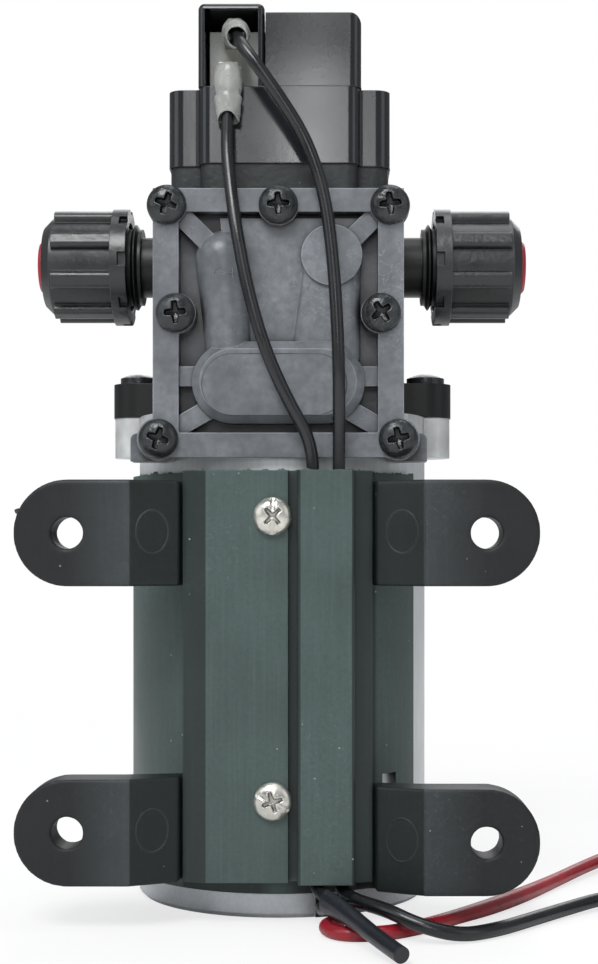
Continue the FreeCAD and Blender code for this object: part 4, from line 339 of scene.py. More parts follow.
print("floor:", 2 * SPREAD, "m wide")

# %% [markdown]
# Five soft boxes light the pump: the key from above on the left, a dim one at each side, one overhead and one
# behind. Pale upright bands in the glossy switch come from window panes, so narrow area lamps stand in front,
# where the switch mirrors them to the camera. The three low ones are for the housing, the upper one for the cap
# and the two tall ones for the side lobes.

# %% Lamps
LAMPS = {
    # name: place, width, height, watts
    "key_softbox": ((-0.20, -0.62, 0.76), 0.45, 0.35, 6.6),
    "left_softbox": ((-0.60, -0.35, 0.40), 0.4, 0.5, 0.8),
    "right_softbox": ((0.60, -0.35, 0.35), 0.35, 0.5, 0.5),
    "top_softbox": ((0.1, 0.05, 0.8), 0.5, 0.4, 1.6),
    "back_softbox": ((0.1, 0.7, 0.5), 0.7, 0.5, 2.4),
    "left_pane": ((-0.074, -0.75, 0.36), 0.024, 0.36, 0.2),
    "right_pane": ((0.058, -0.75, 0.36), 0.02, 0.36, 0.16),
    "middle_pane": ((0.008, -0.75, 0.277), 0.025, 0.155, 0.15),
    "thin_pane": ((-0.0125, -0.75, 0.277), 0.012, 0.155, 0.055),
    "dim_pane": ((-0.042, -0.75, 0.277), 0.04, 0.155, 0.022),
    "upper_pane": ((0.004, -0.75, 0.458), 0.036, 0.165, 0.055),
}
AIM = Vector((0, 0, 0.08))
for label, (place, width, height, watts) in LAMPS.items():
    lamp_data = bpy.data.lights.new(label, "AREA")
    lamp_data.shape = "RECTANGLE"
    lamp_data.size = width
    lamp_data.size_y = height
    lamp_data.energy = watts
    lamp = placed(label, lamp_data)
    lamp.location = place
    ahead = BACK if "pane" in label else AIM - Vector(place)
    lamp.rotation_euler = ahead.to_track_quat("-Z", "Z" if "pane" in label else "Y").to_euler()
bpy.context.scene.view_settings.view_transform = "Standard"
print("lamps:", len(LAMPS))

# %% [markdown]
# ## Pieces made by hand
#
# A few things need a softer or finer shape than the solids have: pressed screw heads, vinyl sleeves, rubber
# feet, springs and the splice sleeve. Each stands in for its solid. Most are built from rings of points, which
# suits round things. A bmesh collects the rings and closes the skin.

# %% Helpers for meshes
def as_piece(name, bm, crease, body="pump"):
    """An object from a finished bmesh: smooth, with sharp edges where faces meet at more than the crease angle.

    Without a body it rides on nothing.
    """
    bmesh.ops.recalc_face_normals(bm, faces=bm.faces)
    mesh = bpy.data.meshes.new(name)
    bm.to_mesh(mesh)
    bm.free()
    for face in mesh.polygons:
        face.use_smooth = True
    mesh.set_sharp_from_angle(angle=math.radians(crease))
    piece = placed(name, mesh)
    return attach(piece, body) if body else piece


def circle(count):
    """Cosine and sine at even steps round a circle."""
    return [(math.cos(part / count * math.tau), math.sin(part / count * math.tau)) for part in range(count)]


def stitch(bm, rings, close_start=True, close_end=True, loop=False):
    """Faces between rings of points. A fan closes each end, or the last ring joins the first one in a loop."""
    rows = [[bm.verts.new(point) for point in ring] for ring in rings]
    for first, second in zip(rows, rows[1:] + (rows[:1] if loop else [])):
        for i in range(len(first)):
            j = (i + 1) % len(first)
            bm.faces.new((first[i], first[j], second[j], second[i]))
    for row, wanted in ((rows[0], close_start), (rows[-1], close_end)):
        if wanted:
            middle = bm.verts.new(sum((v.co for v in row), Vector()) / len(row))
            for i in range(len(row)):
                bm.faces.new((row[i], row[(i + 1) % len(row)], middle))


def separate_boxes(node):
    """The lowest and highest corner of each separate solid in a node, sorted from top to bottom."""
    mesh = NODES[node].data
    keys = {}
    owner = [keys.setdefault(tuple(round(c * 1e6) for c in v.co), v.index) for v in mesh.vertices]
    parent = list(range(len(owner)))

    def root(i):
        while parent[i] != i:
            parent[i] = parent[parent[i]]
            i = parent[i]
        return i

    for edge in mesh.edges:
        parent[root(owner[edge.vertices[0]])] = root(owner[edge.vertices[1]])
    groups = {}
    for vertex in mesh.vertices:
        groups.setdefault(root(owner[vertex.index]), []).append(vertex.co)
    boxes = [(Vector(map(min, zip(*g))), Vector(map(max, zip(*g)))) for g in groups.values()]
    return sorted(boxes, key=lambda box: (-round(box[0].z, 4), round(box[0].x, 4), box[0].y))


# %% [markdown]
# ### Screw heads
#
# A pan head is turned, then a cross is pressed into it, and a driver has chewed its edges. A polar grid with
# a height for every point gives the dome and the pressed cross in one skin. Each head sits at its own angle.

# %% Helpers for a pressed head
HEAD_SIDES = 96
HEAD_STEPS = 36
# steps are even over the first share of the radius, and crowd over the last, where the dome falls
EVEN_SHARE, CROWDED_SHARE = 0.7, 0.3
RIM_SHARE = 0.32
CROSS_SOFTNESS = 0.00022
SLOT_HALF_WIDTH = 0.36 * MM
LIP_RISE = 0.00006
RIM_BEVEL = 0.00015


def gate(value, soft):
    """A smooth step from 0 to 1 round zero."""
    t = min(1, max(0, value / soft + 0.5))
    return t * t * (3 - 2 * t)


def cross_depth(across, up, reach, half_width, soft):
    """How far the driver's cross goes in: 0 outside it, 1 on its floor."""
    deepest = 0
    for run, side in ((abs(across), abs(up)), (abs(up), abs(across))):
        width = half_width * (1.35 - 0.55 * min(1, run / reach))
        deepest = max(deepest, gate(width - side, soft) * gate(reach - run, soft * 1.5))
    return deepest


def pan_head(bm, centre, facing, radius, height, turn, reach, half_width, depth, slot):
    """A closed pan head on the XZ plane at its centre, facing along Y."""
    rings = []
    side = RIM_SHARE * height
    for step in range(1, HEAD_STEPS + 1):
        distance = step / HEAD_STEPS * radius
        if step / HEAD_STEPS >= EVEN_SHARE:
            crowded = math.sin((step / HEAD_STEPS - EVEN_SHARE) / CROWDED_SHARE * math.pi / 2)
            distance = radius * (EVEN_SHARE + CROWDED_SHARE * crowded)
        ring = []
        for cosine, sine in circle(HEAD_SIDES):
            across, up = distance * cosine, distance * sine
            rise = side + (height - side) * (1 - (distance / radius) ** 2.3) ** 0.62
            ragged = noise.noise(Vector((across, up, turn)) / radius * 5) * 0.06 * reach
            a, u = (across * math.cos(turn) + up * math.sin(turn), up * math.cos(turn) - across * math.sin(turn))
            pressed = cross_depth(a + ragged, u - ragged, reach, half_width, CROSS_SOFTNESS)
            sunk = depth * pressed * (1 - 0.45 * min(1, distance / reach))
            if slot:
                diagonal = abs(a - u) / math.sqrt(2)
                inside = gate(SLOT_HALF_WIDTH - diagonal, 0.0002) * gate(radius * 0.93 - distance, 0.0004)
                sunk = max(sunk, slot * inside)
            lip = LIP_RISE * gate(0.5 - abs(pressed - 0.25), 0.5)
            ring.append(Vector((centre.x + across, centre.y + facing * (rise - sunk + lip), centre.z + up)))
        rings.append(ring)
    for distance, rise in ((radius, side * 0.5), (radius, RIM_BEVEL), (radius - RIM_BEVEL, 0)):
        rings.append([centre + Vector((distance * cosine, facing * rise, distance * sine))
                      for cosine, sine in circle(HEAD_SIDES)])
    stitch(bm, rings)


# %% [markdown]
# The two covers hold seven screws each, and a screw of the front cover shares its turn with the one behind it.
# The two screws of the base also have a slot, which runs between the arms of the cross.

# %% Press the screw heads
def screw_set(name, node, height, reach, half_width, depth, turns, slot=0.0):
    """One mesh with a head for each screw of a node, on the screw's own spot."""
    bm = bmesh.new()
    heads = separate_boxes(node)
    for turn, (low, high) in zip(turns, heads):
        facing = -1 if low.y < -0.001 else 1
        outer = low.y if facing < 0 else high.y
        centre = Vector(((low.x + high.x) / 2, outer - facing * height, (low.z + high.z) / 2))
        pan_head(bm, centre, facing, (high.x - low.x) / 2, height, turn, reach, half_width, depth, slot)
    piece = as_piece(name, bm, 60)
    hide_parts(node)
    print(name, len(heads), "heads")
    return piece


COVER_TURNS = [turn for turn in (-0.35, 0.04, 0.12, 0.06, 0.6, -0.3, 0.22) for _ in range(2)]
cover_heads = screw_set("cover_screw_heads", "cover_screws", 2.2 * MM, 1.8 * MM, 0.47 * MM, 1.6 * MM, COVER_TURNS)
base_heads = screw_set("base_screw_heads", "base_screws", 2.0 * MM, 1.7 * MM, 0.3 * MM, 0.9 * MM, (0.75, 1.88),
                       slot=0.25 * MM)

# %% [markdown]
# ### Terminal sleeves
#
# Each spade terminal wears a sleeve of soft milky vinyl: a wide part over the blade, a fold, then a cone that
# narrows to the lead. Rings along a line that may lean give all of it, wall and bore together.

# %% Turn the terminal sleeves
SLEEVE_SIDES = 40
SLEEVE_WOBBLE = 0.1


def turned(bm, start, end, profile, arch=0.0, octagon=0.0):
    """A closed turned shape. The profile is pairs of how far along the line, and radius in millimetres.

    An arch cuts the front of the far end back. An octagon flattens the sides of the near end.
    """
    way = (end - start).normalized()
    left = way.cross(UP if abs(way.z) < 0.9 else BACK).normalized()
    top = way.cross(left)
    rings = []
    for along, radius in profile:
        middle = start.lerp(end, along)
        ring = []
        for part in range(SLEEVE_SIDES):
            angle = part / SLEEVE_SIDES * math.tau
            uneven = noise.noise(Vector((math.cos(angle), math.sin(angle), along * 3)) * 1.5)
            grown = radius * MM * (1 + SLEEVE_WOBBLE * uneven)
            flat = math.cos(math.pi / 8) / math.cos((angle + math.pi / 8) % (math.pi / 4) - math.pi / 8)
            grown *= 1 + octagon * gate(0.45 - along, 0.2) * (flat - 1)
            out = left * math.cos(angle) + top * math.sin(angle)
            back = arch * MM * max(0, -out.y) ** 1.5 * gate(along - 0.8, 0.3)
            ring.append(middle + out * grown - way * back)
        rings.append(ring)
    stitch(bm, rings, False, False, loop=True)


SLEEVE_PROFILE = [
    (0.0, 2.15), (0.015, 2.3), (0.06, 2.36), (0.2, 2.42), (0.32, 2.4), (0.4, 2.26), (0.44, 2.12), (0.48, 2.1),
    (0.52, 2.3), (0.56, 2.38), (0.7, 2.26), (0.85, 2.06), (0.97, 1.92), (1.0, 1.86), (1.0, 1.66), (0.96, 1.6),
    (0.7, 1.75), (0.5, 1.7), (0.2, 1.8), (0.02, 1.8),
]
# The lower sleeve bulges over the bend of its blade, so its wide end is closed by a dome.
LOWER_PROFILE = [(-0.17, 0.5), (-0.165, 1.2), (-0.13, 1.9), (-0.07, 2.3), *SLEEVE_PROFILE[2:-1],
                 (-0.05, 1.7), (-0.13, 0.5)]
sleeves = bmesh.new()
turned(sleeves, Vector((-7.9, -21.4, 153.6)) * MM, Vector((-6.9, -30.0, 150.0)) * MM, SLEEVE_PROFILE, octagon=1.0)
turned(sleeves, Vector((-8.5, -26.4, 145.0)) * MM, Vector((-8.7, -27.0, 136.4)) * MM, LOWER_PROFILE, arch=1.3)
terminal_sleeves = as_piece("vinyl_sleeves", sleeves, 70)
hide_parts("terminal_sleeves")
print("sleeve vertices:", len(terminal_sleeves.data.vertices))

# %% [markdown]
# ### Splice sleeve
#
# A closed end sleeve takes both leads at its mouth, narrows to one round tube and is melted shut at its end.
# Rings follow the same smooth line that a lead would, so the sleeve bends with the leads.

# %% Shape the splice sleeve
def line_points(points):
    """The points of a smooth line through a lead's guide points, read from its NURBS curve."""
    guide = lead("guide_line", points, 0)
    guide.data.use_fill_caps = False
    mesh = bpy.data.meshes.new_from_object(guide)
    found = [v.co.copy() for v in mesh.vertices]
    bpy.data.objects.remove(guide)
    bpy.data.meshes.remove(mesh)
    return found


splice_route = spots([(8.2, -37, 5.1), (12.4, -45.4, 4.4), (16.2, -52.8, 2.7), (19.6, -59.4, 1.75)])
SPLICE_HALF_WIDTH = [(0.0, 1.4), (0.16, 1.4), (0.45, 1.35), (0.75, 1.35), (0.94, 1.35)]
SPLICE_HALF_HEIGHT = [(0.0, 2.15), (0.2, 1.8), (0.4, 1.45), (0.75, 1.36), (0.94, 1.35)]
SPLICE_SIDES = 32
TIP_STEPS = 6
TIP_REACH = 1.5 * MM


def read_off(table, along):
    """A value from a table of pairs, at a place between two of them."""
    for (a, first), (b, second) in zip(table, table[1:]):
        if along <= b:
            return first + (second - first) * max(0, (along - a) / (b - a))
    return table[-1][1]


sleeve_line = line_points(splice_route)
bm = bmesh.new()
rings = []
for step, middle in enumerate(sleeve_line):
    along = step / (len(sleeve_line) - 1)
    ahead = sleeve_line[min(step + 1, len(sleeve_line) - 1)] - sleeve_line[max(step - 1, 0)]
    left = ahead.cross(UP).normalized()
    top = left.cross(ahead).normalized()
    wide, tall = read_off(SPLICE_HALF_WIDTH, along) * MM, read_off(SPLICE_HALF_HEIGHT, along) * MM
    rings.append([middle + left * wide * cosine + top * tall * sine for cosine, sine in circle(SPLICE_SIDES)])
tip_way = (sleeve_line[-1] - sleeve_line[-2]).normalized()
for part in range(1, TIP_STEPS):
    bend = part / TIP_STEPS * math.pi / 2
    rings.append([sleeve_line[-1] + tip_way * math.sin(bend) * TIP_REACH + (point - sleeve_line[-1]) * math.cos(bend)
                  for point in rings[len(sleeve_line) - 1]])
stitch(bm, rings)
splice = as_piece("closed_end_sleeve", bm, 60)
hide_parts("splice_sleeve")
print("splice rings:", len(rings))

# %% [markdown]
# One switch lead and the motor's black lead meet in this sleeve. Inside it only their bare cores run on.

# %% Lay the two leads of the splice
tail_points = [
    (5.9, -31, 10), (5.9, -31, 8.3), (6.6, -32.6, 6.5), (7.4, -35, 6.0), (8.6, -37.6, 5.7),
    (11.8, -43.8, 4.9), (15.3, -50.6, 3.4), (18.2, -56.4, 2.1),
]
black_points = [
    (7.8, -26.4, 1.9), (7.8, -29.4, 1.9), (7.2, -35.2, 3.8), (8.4, -37.4, 4.1), (11.6, -43.8, 3.9),
    (15.0, -50.8, 2.8), (17.0, -54.8, 2.1),
]
for label, node, points, bare_from in (("tail", "switch_lead_tail", tail_points, 5),
                                       ("black", "motor_lead_black", black_points, 4)):
    piece = lead(f"splice_{label}_lead", spots(points), SWITCH_RADIUS, bare_from=bare_from)
    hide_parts(node)
    length = run_length(piece)
    print("splice", label, "lead", round(length / MM, 1), "mm")

# %% [markdown]
# ### Feet
#
# The feet are moulded rubber, with every edge rounded by the mould and an oval mark from the ejector pin on
# each slope. A voxel remesh gives the solid an even skin, and smoothing then softens its edges. The mark and
# the line along the bend are thin beads, laid on that skin with a ray for each of their points.

# %% Helpers for a foot
FEET = {
    "foot_top_left": "foot_tl", "foot_top_right": "foot_tr",
    "foot_bottom_left": "foot_bl", "foot_bottom_right": "foot_br",
}
FOOT_VOXEL = 0.38 * MM
MARK_ACROSS = 20.7 * MM
MARK_RADII = (2.55 * MM, 3.6 * MM)
MARK_RISE = 0.2 * MM
MARK_POINTS = 60
BEND_ACROSS = 24.4 * MM
BEND_MARGIN = 0.5 * MM
BEND_STEPS = 50
MARK_BEAD, BEND_BEAD = 0.14 * MM, 0.17 * MM
BEAD_SIDES = 8
BURR_FOOT = "foot_top_left"
BURR_RAY = Vector((-100.0, -32.5, 69.6)) * MM
BURR_OUT = Vector((0.4 * MM, 0, 0))
BURR_RADIUS = 0.75 * MM
BURR_STRETCH = (1.1, 1.6, 0.7)


def softened(name, node):
    """A copy of a solid with an even skin and soft edges."""
    copy = placed(name, NODES[node].data.copy())
    remesh = copy.modifiers.new("skin", "REMESH")
    remesh.mode = "VOXEL"
    remesh.voxel_size = FOOT_VOXEL
    relax = copy.modifiers.new("relax", "SMOOTH")
    relax.factor = 0.5
    relax.iterations = 4
    ready = bpy.data.meshes.new_from_object(copy.evaluated_get(bpy.context.evaluated_depsgraph_get()))
    bpy.data.objects.remove(copy)
    ready.materials.clear()
    return ready


def bead(bm, skin, marks, radius, closed):
    """A thin raised line that follows the front of a skin, through marks given as X and Z."""
    spots_on = [skin.ray_cast(Vector((x, -0.1, z)), BACK)[0] for x, z in marks]
    spots_on = [spot for spot in spots_on if spot]
    rings = []
    for step, spot in enumerate(spots_on):
        before = spots_on[step - 1 if closed else max(step - 1, 0)]
        after = spots_on[(step + 1) % len(spots_on) if closed else min(step + 1, len(spots_on) - 1)]
        way = (after - before).normalized()
        left = way.cross(BACK).normalized()
        drift = 0.65 + 0.5 * noise.noise(spot * 900)
        rings.append([spot + (left * cosine + BACK * sine) * radius * drift
                      for cosine, sine in circle(BEAD_SIDES)])
    stitch(bm, rings + rings[:1] if closed else rings, not closed, not closed)


# %% [markdown]
# The four feet take the same steps. The top left one also keeps a stub of the runner that its mould was filled
# through, torn off at the tip: a small ball with a ragged skin.

# %% Soften the feet
for node, body in FEET.items():
    mesh = softened(f"soft_{node}", node)
    bm = bmesh.new()
    bm.from_mesh(mesh)
    skin = BVHTree.FromBMesh(bm)
    low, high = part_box(node)
    side = -1 if "left" in node else 1
    middle = (low[2] + high[2]) / 2 + MARK_RISE
    oval = [(side * MARK_ACROSS + MARK_RADII[0] * cosine, middle + MARK_RADII[1] * sine)
            for cosine, sine in circle(MARK_POINTS)]
    bend_length = high[2] - low[2] - 2 * BEND_MARGIN
    bend = [(side * BEND_ACROSS, low[2] + BEND_MARGIN + bend_length * part / BEND_STEPS)
            for part in range(BEND_STEPS + 1)]
    bead(bm, skin, oval, MARK_BEAD, True)
    bead(bm, skin, bend, BEND_BEAD, False)
    if node == BURR_FOOT:
        tip = skin.ray_cast(BURR_RAY, Vector((1, 0, 0)))[0] - BURR_OUT
        stub = bmesh.ops.create_icosphere(bm, subdivisions=3, radius=BURR_RADIUS)["verts"]
        for vertex in stub:
            ragged = 1 + 0.45 * noise.noise(vertex.co * 1800)
            vertex.co = tip + Vector([number * by for number, by in zip(vertex.co, BURR_STRETCH)]) * ragged
    piece = as_piece(f"soft_{node}", bm, 50, body)
    bpy.data.meshes.remove(mesh)
    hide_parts(node)
    print(piece.name, len(piece.data.vertices), "vertices")

# %% [markdown]
# ### Moulding flash
#
# Where the base was cut from its runner, thin ragged flash stands along its top edge. Three strips of small
# triangular prisms follow the front of the solid, which a ray finds at each step, and noise sets their height.

# %% Raise the flash on the base
FLASH_RUNS = [
    # from, to and height in millimetres, and steps
    (-25.6, -16.9, 0.55, 60), (-15.6, 16.6, 0.3, 150), (16.9, 25.6, 0.4, 60),
]
FLASH_THICKNESS = 0.22 * MM
FLASH_FOOT = 0.05 * MM


def skin_of(node):
    """The surface of one of the pump's solids, ready for rays."""
    bm = bmesh.new()
    bm.from_mesh(NODES[node].data)
    skin = BVHTree.FromBMesh(bm)
    bm.free()
    return skin


base_skin = skin_of("base_rail")
base_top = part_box("base_rail")[1][2]
bm = bmesh.new()
for run_from, run_to, tall, steps in FLASH_RUNS:
    rows = []
    for step in range(steps + 1):
        across = (run_from + (run_to - run_from) * step / steps) * MM
        spot = base_skin.ray_cast(Vector((across, -0.1, base_top - 0.3 * MM)), BACK)[0]
        if spot is None:
            continue
        front = spot.y + 0.02 * MM
        rough = noise.noise(Vector((across * 700, 0, 0))) + 0.7 * noise.noise(Vector((across * 2600, 4, 0)))
        rise = max(0.02, 0.1 + rough) * tall * 1.6 * MM
        lean = 0.4 * tall * MM * noise.noise(Vector((across * 900, 9, 0)))
        rows.append([Vector((across, front, base_top - FLASH_FOOT)),
                     Vector((across + lean, front - abs(lean), base_top + rise)),
                     Vector((across, front + FLASH_THICKNESS, base_top - FLASH_FOOT))])
    stitch(bm, rows)
flash = as_piece("base_flash", bm, 30)
print("flash runs:", len(FLASH_RUNS))

# %% [markdown]
# The tube of the cover carries a small raised arrow for the direction of flow. Four beads on the cover's skin
# draw it: shaft, two strokes of the head and a bar at the tail.

# %% Raise the flow arrow
ARROW_TIP = (-11.0, 110.2)
ARROW_LENGTH = 3.3
ARROW_HEAD = 0.9
ARROW_STROKES = [
    ((0, 0), (ARROW_LENGTH, 0)), ((ARROW_HEAD, ARROW_HEAD), (0, 0)), ((0, 0), (ARROW_HEAD, -ARROW_HEAD)),
    ((ARROW_LENGTH, -ARROW_HEAD), (ARROW_LENGTH, ARROW_HEAD)),
]
ARROW_BEAD = 0.13 * MM
STROKE_STEPS = 12
cover_skin = skin_of("front_cover")
bm = bmesh.new()
for (x0, z0), (x1, z1) in ARROW_STROKES:
    marks = [((ARROW_TIP[0] + x0 + (x1 - x0) * part / STROKE_STEPS) * MM,
              (ARROW_TIP[1] + z0 + (z1 - z0) * part / STROKE_STEPS) * MM) for part in range(STROKE_STEPS + 1)]
    bead(bm, cover_skin, marks, ARROW_BEAD, False)
arrow = as_piece("flow_arrow", bm, 50)
print("arrow vertices:", len(arrow.data.vertices))

# %% [markdown]
# ### Springs
#
# The solids hold the springs as a plain tube and two cylinders. Here each one is wound from round wire in that
# room: a ring of points travels along a helix, and the first and last turn rise by only a little more than one
# wire, as on a real compression spring. The switch's spring stands between the piston and its seat, and here it
# rides on no body.

# %% Wind the springs
WIRE_SIDES = 10
POINTS_PER_TURN = 32
CLOSED_TURN_RISE = 1.08
SWITCH_WIRE, SWITCH_TURNS = 0.8 * MM, 5
BRUSH_WIRE, BRUSH_TURNS = 0.4 * MM, 6


def wind(bm, foot, axis, length, outside, wire, turns):
    """A compression spring that stands on its foot, with a closed turn at each end."""
    side = axis.orthogonal().normalized()
    other = axis.cross(side)
    end_rise = wire * CLOSED_TURN_RISE
    open_rise = length - wire - 2 * end_rise
    coil = outside - wire / 2
    rings = []
    for step in range(turns * POINTS_PER_TURN + 1):
        turn = step / POINTS_PER_TURN
        height = (wire / 2 + end_rise * (min(turn, 1) + max(turn - turns + 1, 0))
                  + open_rise * min(max((turn - 1) / (turns - 2), 0), 1))
        out = side * math.cos(turn * math.tau) + other * math.sin(turn * math.tau)
        centre = foot + out * coil + axis * height
        rings.append([centre + (out * cosine + axis * sine) * wire / 2 for cosine, sine in circle(WIRE_SIDES)])
    stitch(bm, rings)


low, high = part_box("switch_spring")
bm = bmesh.new()
wind(bm, Vector(((low[0] + high[0]) / 2, (low[1] + high[1]) / 2, low[2])), UP, high[2] - low[2],
     (high[0] - low[0]) / 2, SWITCH_WIRE, SWITCH_TURNS)
switch_coil = as_piece("switch_coil_spring", bm, 60, None)
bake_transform(switch_coil)
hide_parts("switch_spring")

bm = bmesh.new()
for low, high in separate_boxes("brush_springs"):
    outward = 1 if low[0] > 0 else -1
    near = min(abs(low[0]), abs(high[0]))
    wind(bm, Vector((outward * near, (low[1] + high[1]) / 2, (low[2] + high[2]) / 2)), Vector((outward, 0, 0)),
         high[0] - low[0], (high[2] - low[2]) / 2, BRUSH_WIRE, BRUSH_TURNS)
brush_coils = as_piece("brush_coil_springs", bm, 60)
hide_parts("brush_springs")
print("spring vertices:", len(switch_coil.data.vertices), len(brush_coils.data.vertices))

# %% [markdown]
# ## Finishes
#
# Moulded plastic is never one flat colour: gloss and tone change a little over the surface, edges are painted
# paler, for wear and as a painted highlight, hollows are painted darker, for grime and as painted shade, and dust
# sits in the grain. One recipe gives all of that, and its numbers tell one finish from another. The Bevel node
# rounds sharp edges for the light only, and comparing its normal with the true one finds those edges. The Ambient
# Occlusion node finds the hollows.

# %% Colours and patterns
def shade(red, green, blue):
    """A colour given as it looks on a screen, from 0 to 255, as the linear colour that a shader wants."""
    return tuple(((v / 255 + 0.055) / 1.055) ** 2.4 if v > 10 else v / 255 / 12.92 for v in (red, green, blue)) + (1,)


def scaled(colour, by, add=0.0):
    """A colour made darker or paler."""
    return tuple(min(1, c * by + add) for c in colour[:3]) + (1,)


def mixed(tree, amount, first, second, kind="MIX"):
    """Two colours, mixed by an amount. Each is a socket or a colour."""
    made = tree.nodes.new("ShaderNodeMix")
    made.data_type = "RGBA"
    made.blend_type = kind
    for socket, value in ((made.inputs[0], amount), (made.inputs[6], first), (made.inputs[7], second)):
        if isinstance(value, bpy.types.NodeSocket):
            tree.links.new(value, socket)
        else:
            socket.default_value = value
    return made.outputs[2]


def grain(tree, where, size_mm, detail=2.0, stretch=(1, 1, 1), distortion=0.0):
    """Noise with spots of about this size. Stretch draws it out along an axis."""
    mapping = tree.nodes.new("ShaderNodeMapping")
    mapping.inputs["Scale"].default_value = stretch
    tree.links.new(where, mapping.inputs["Vector"])
    made = tree.nodes.new("ShaderNodeTexNoise")
    made.inputs["Scale"].default_value = 1000 / size_mm / 2
    made.inputs["Detail"].default_value = detail
    made.inputs["Distortion"].default_value = distortion
    tree.links.new(mapping.outputs[0], made.inputs["Vector"])
    return made.outputs["Fac"]


def apart(tree, vector, axis):
    """One of the three numbers of a vector."""
    made = tree.nodes.new("ShaderNodeSeparateXYZ")
    tree.links.new(vector, made.inputs[0])
    return made.outputs[axis]


def specks(tree, where, apart_mm, share, size):
    """Small round specks: a few of the cells of a Voronoi pattern, near their middles only."""
    cells = tree.nodes.new("ShaderNodeTexVoronoi")
    cells.inputs["Scale"].default_value = 1000 / apart_mm
    tree.links.new(where, cells.inputs["Vector"])
    chosen = tree.nodes.new("ShaderNodeSeparateColor")
    tree.links.new(cells.outputs["Color"], chosen.inputs[0])
    return sum_of(tree, "MULTIPLY", spread(tree, cells.outputs["Distance"], size, size * 0.5),
                  spread(tree, chosen.outputs[0], 1 - share, 1 - share + 0.01))


# %% [markdown]
# The recipe is one function. Two noises, one broad and one small, carry most of it: they shift the tone, drive the
# roughness and raise the bump. Every further layer is mixed over the last one, and a strength of 0 leaves it out.
# Names that end in _mm are sizes on the real pump. Bend, ring, flank and waves each serve one kind of piece, and
# bend, ring and flank paint shade on it.

# %% The recipe for a finish
# Tones of painted shade on the feet: towards the tip, and inside the bend.
TIP_SHADE_TONE = (0.3, 0.29, 0.3, 1)
BEND_SHADE_TONE = (0.24, 0.3, 0.27, 1)
DUST_COLOUR = shade(176, 182, 178)
GRAIN_RISE = 0.0002
WAVE_RISE = 0.001


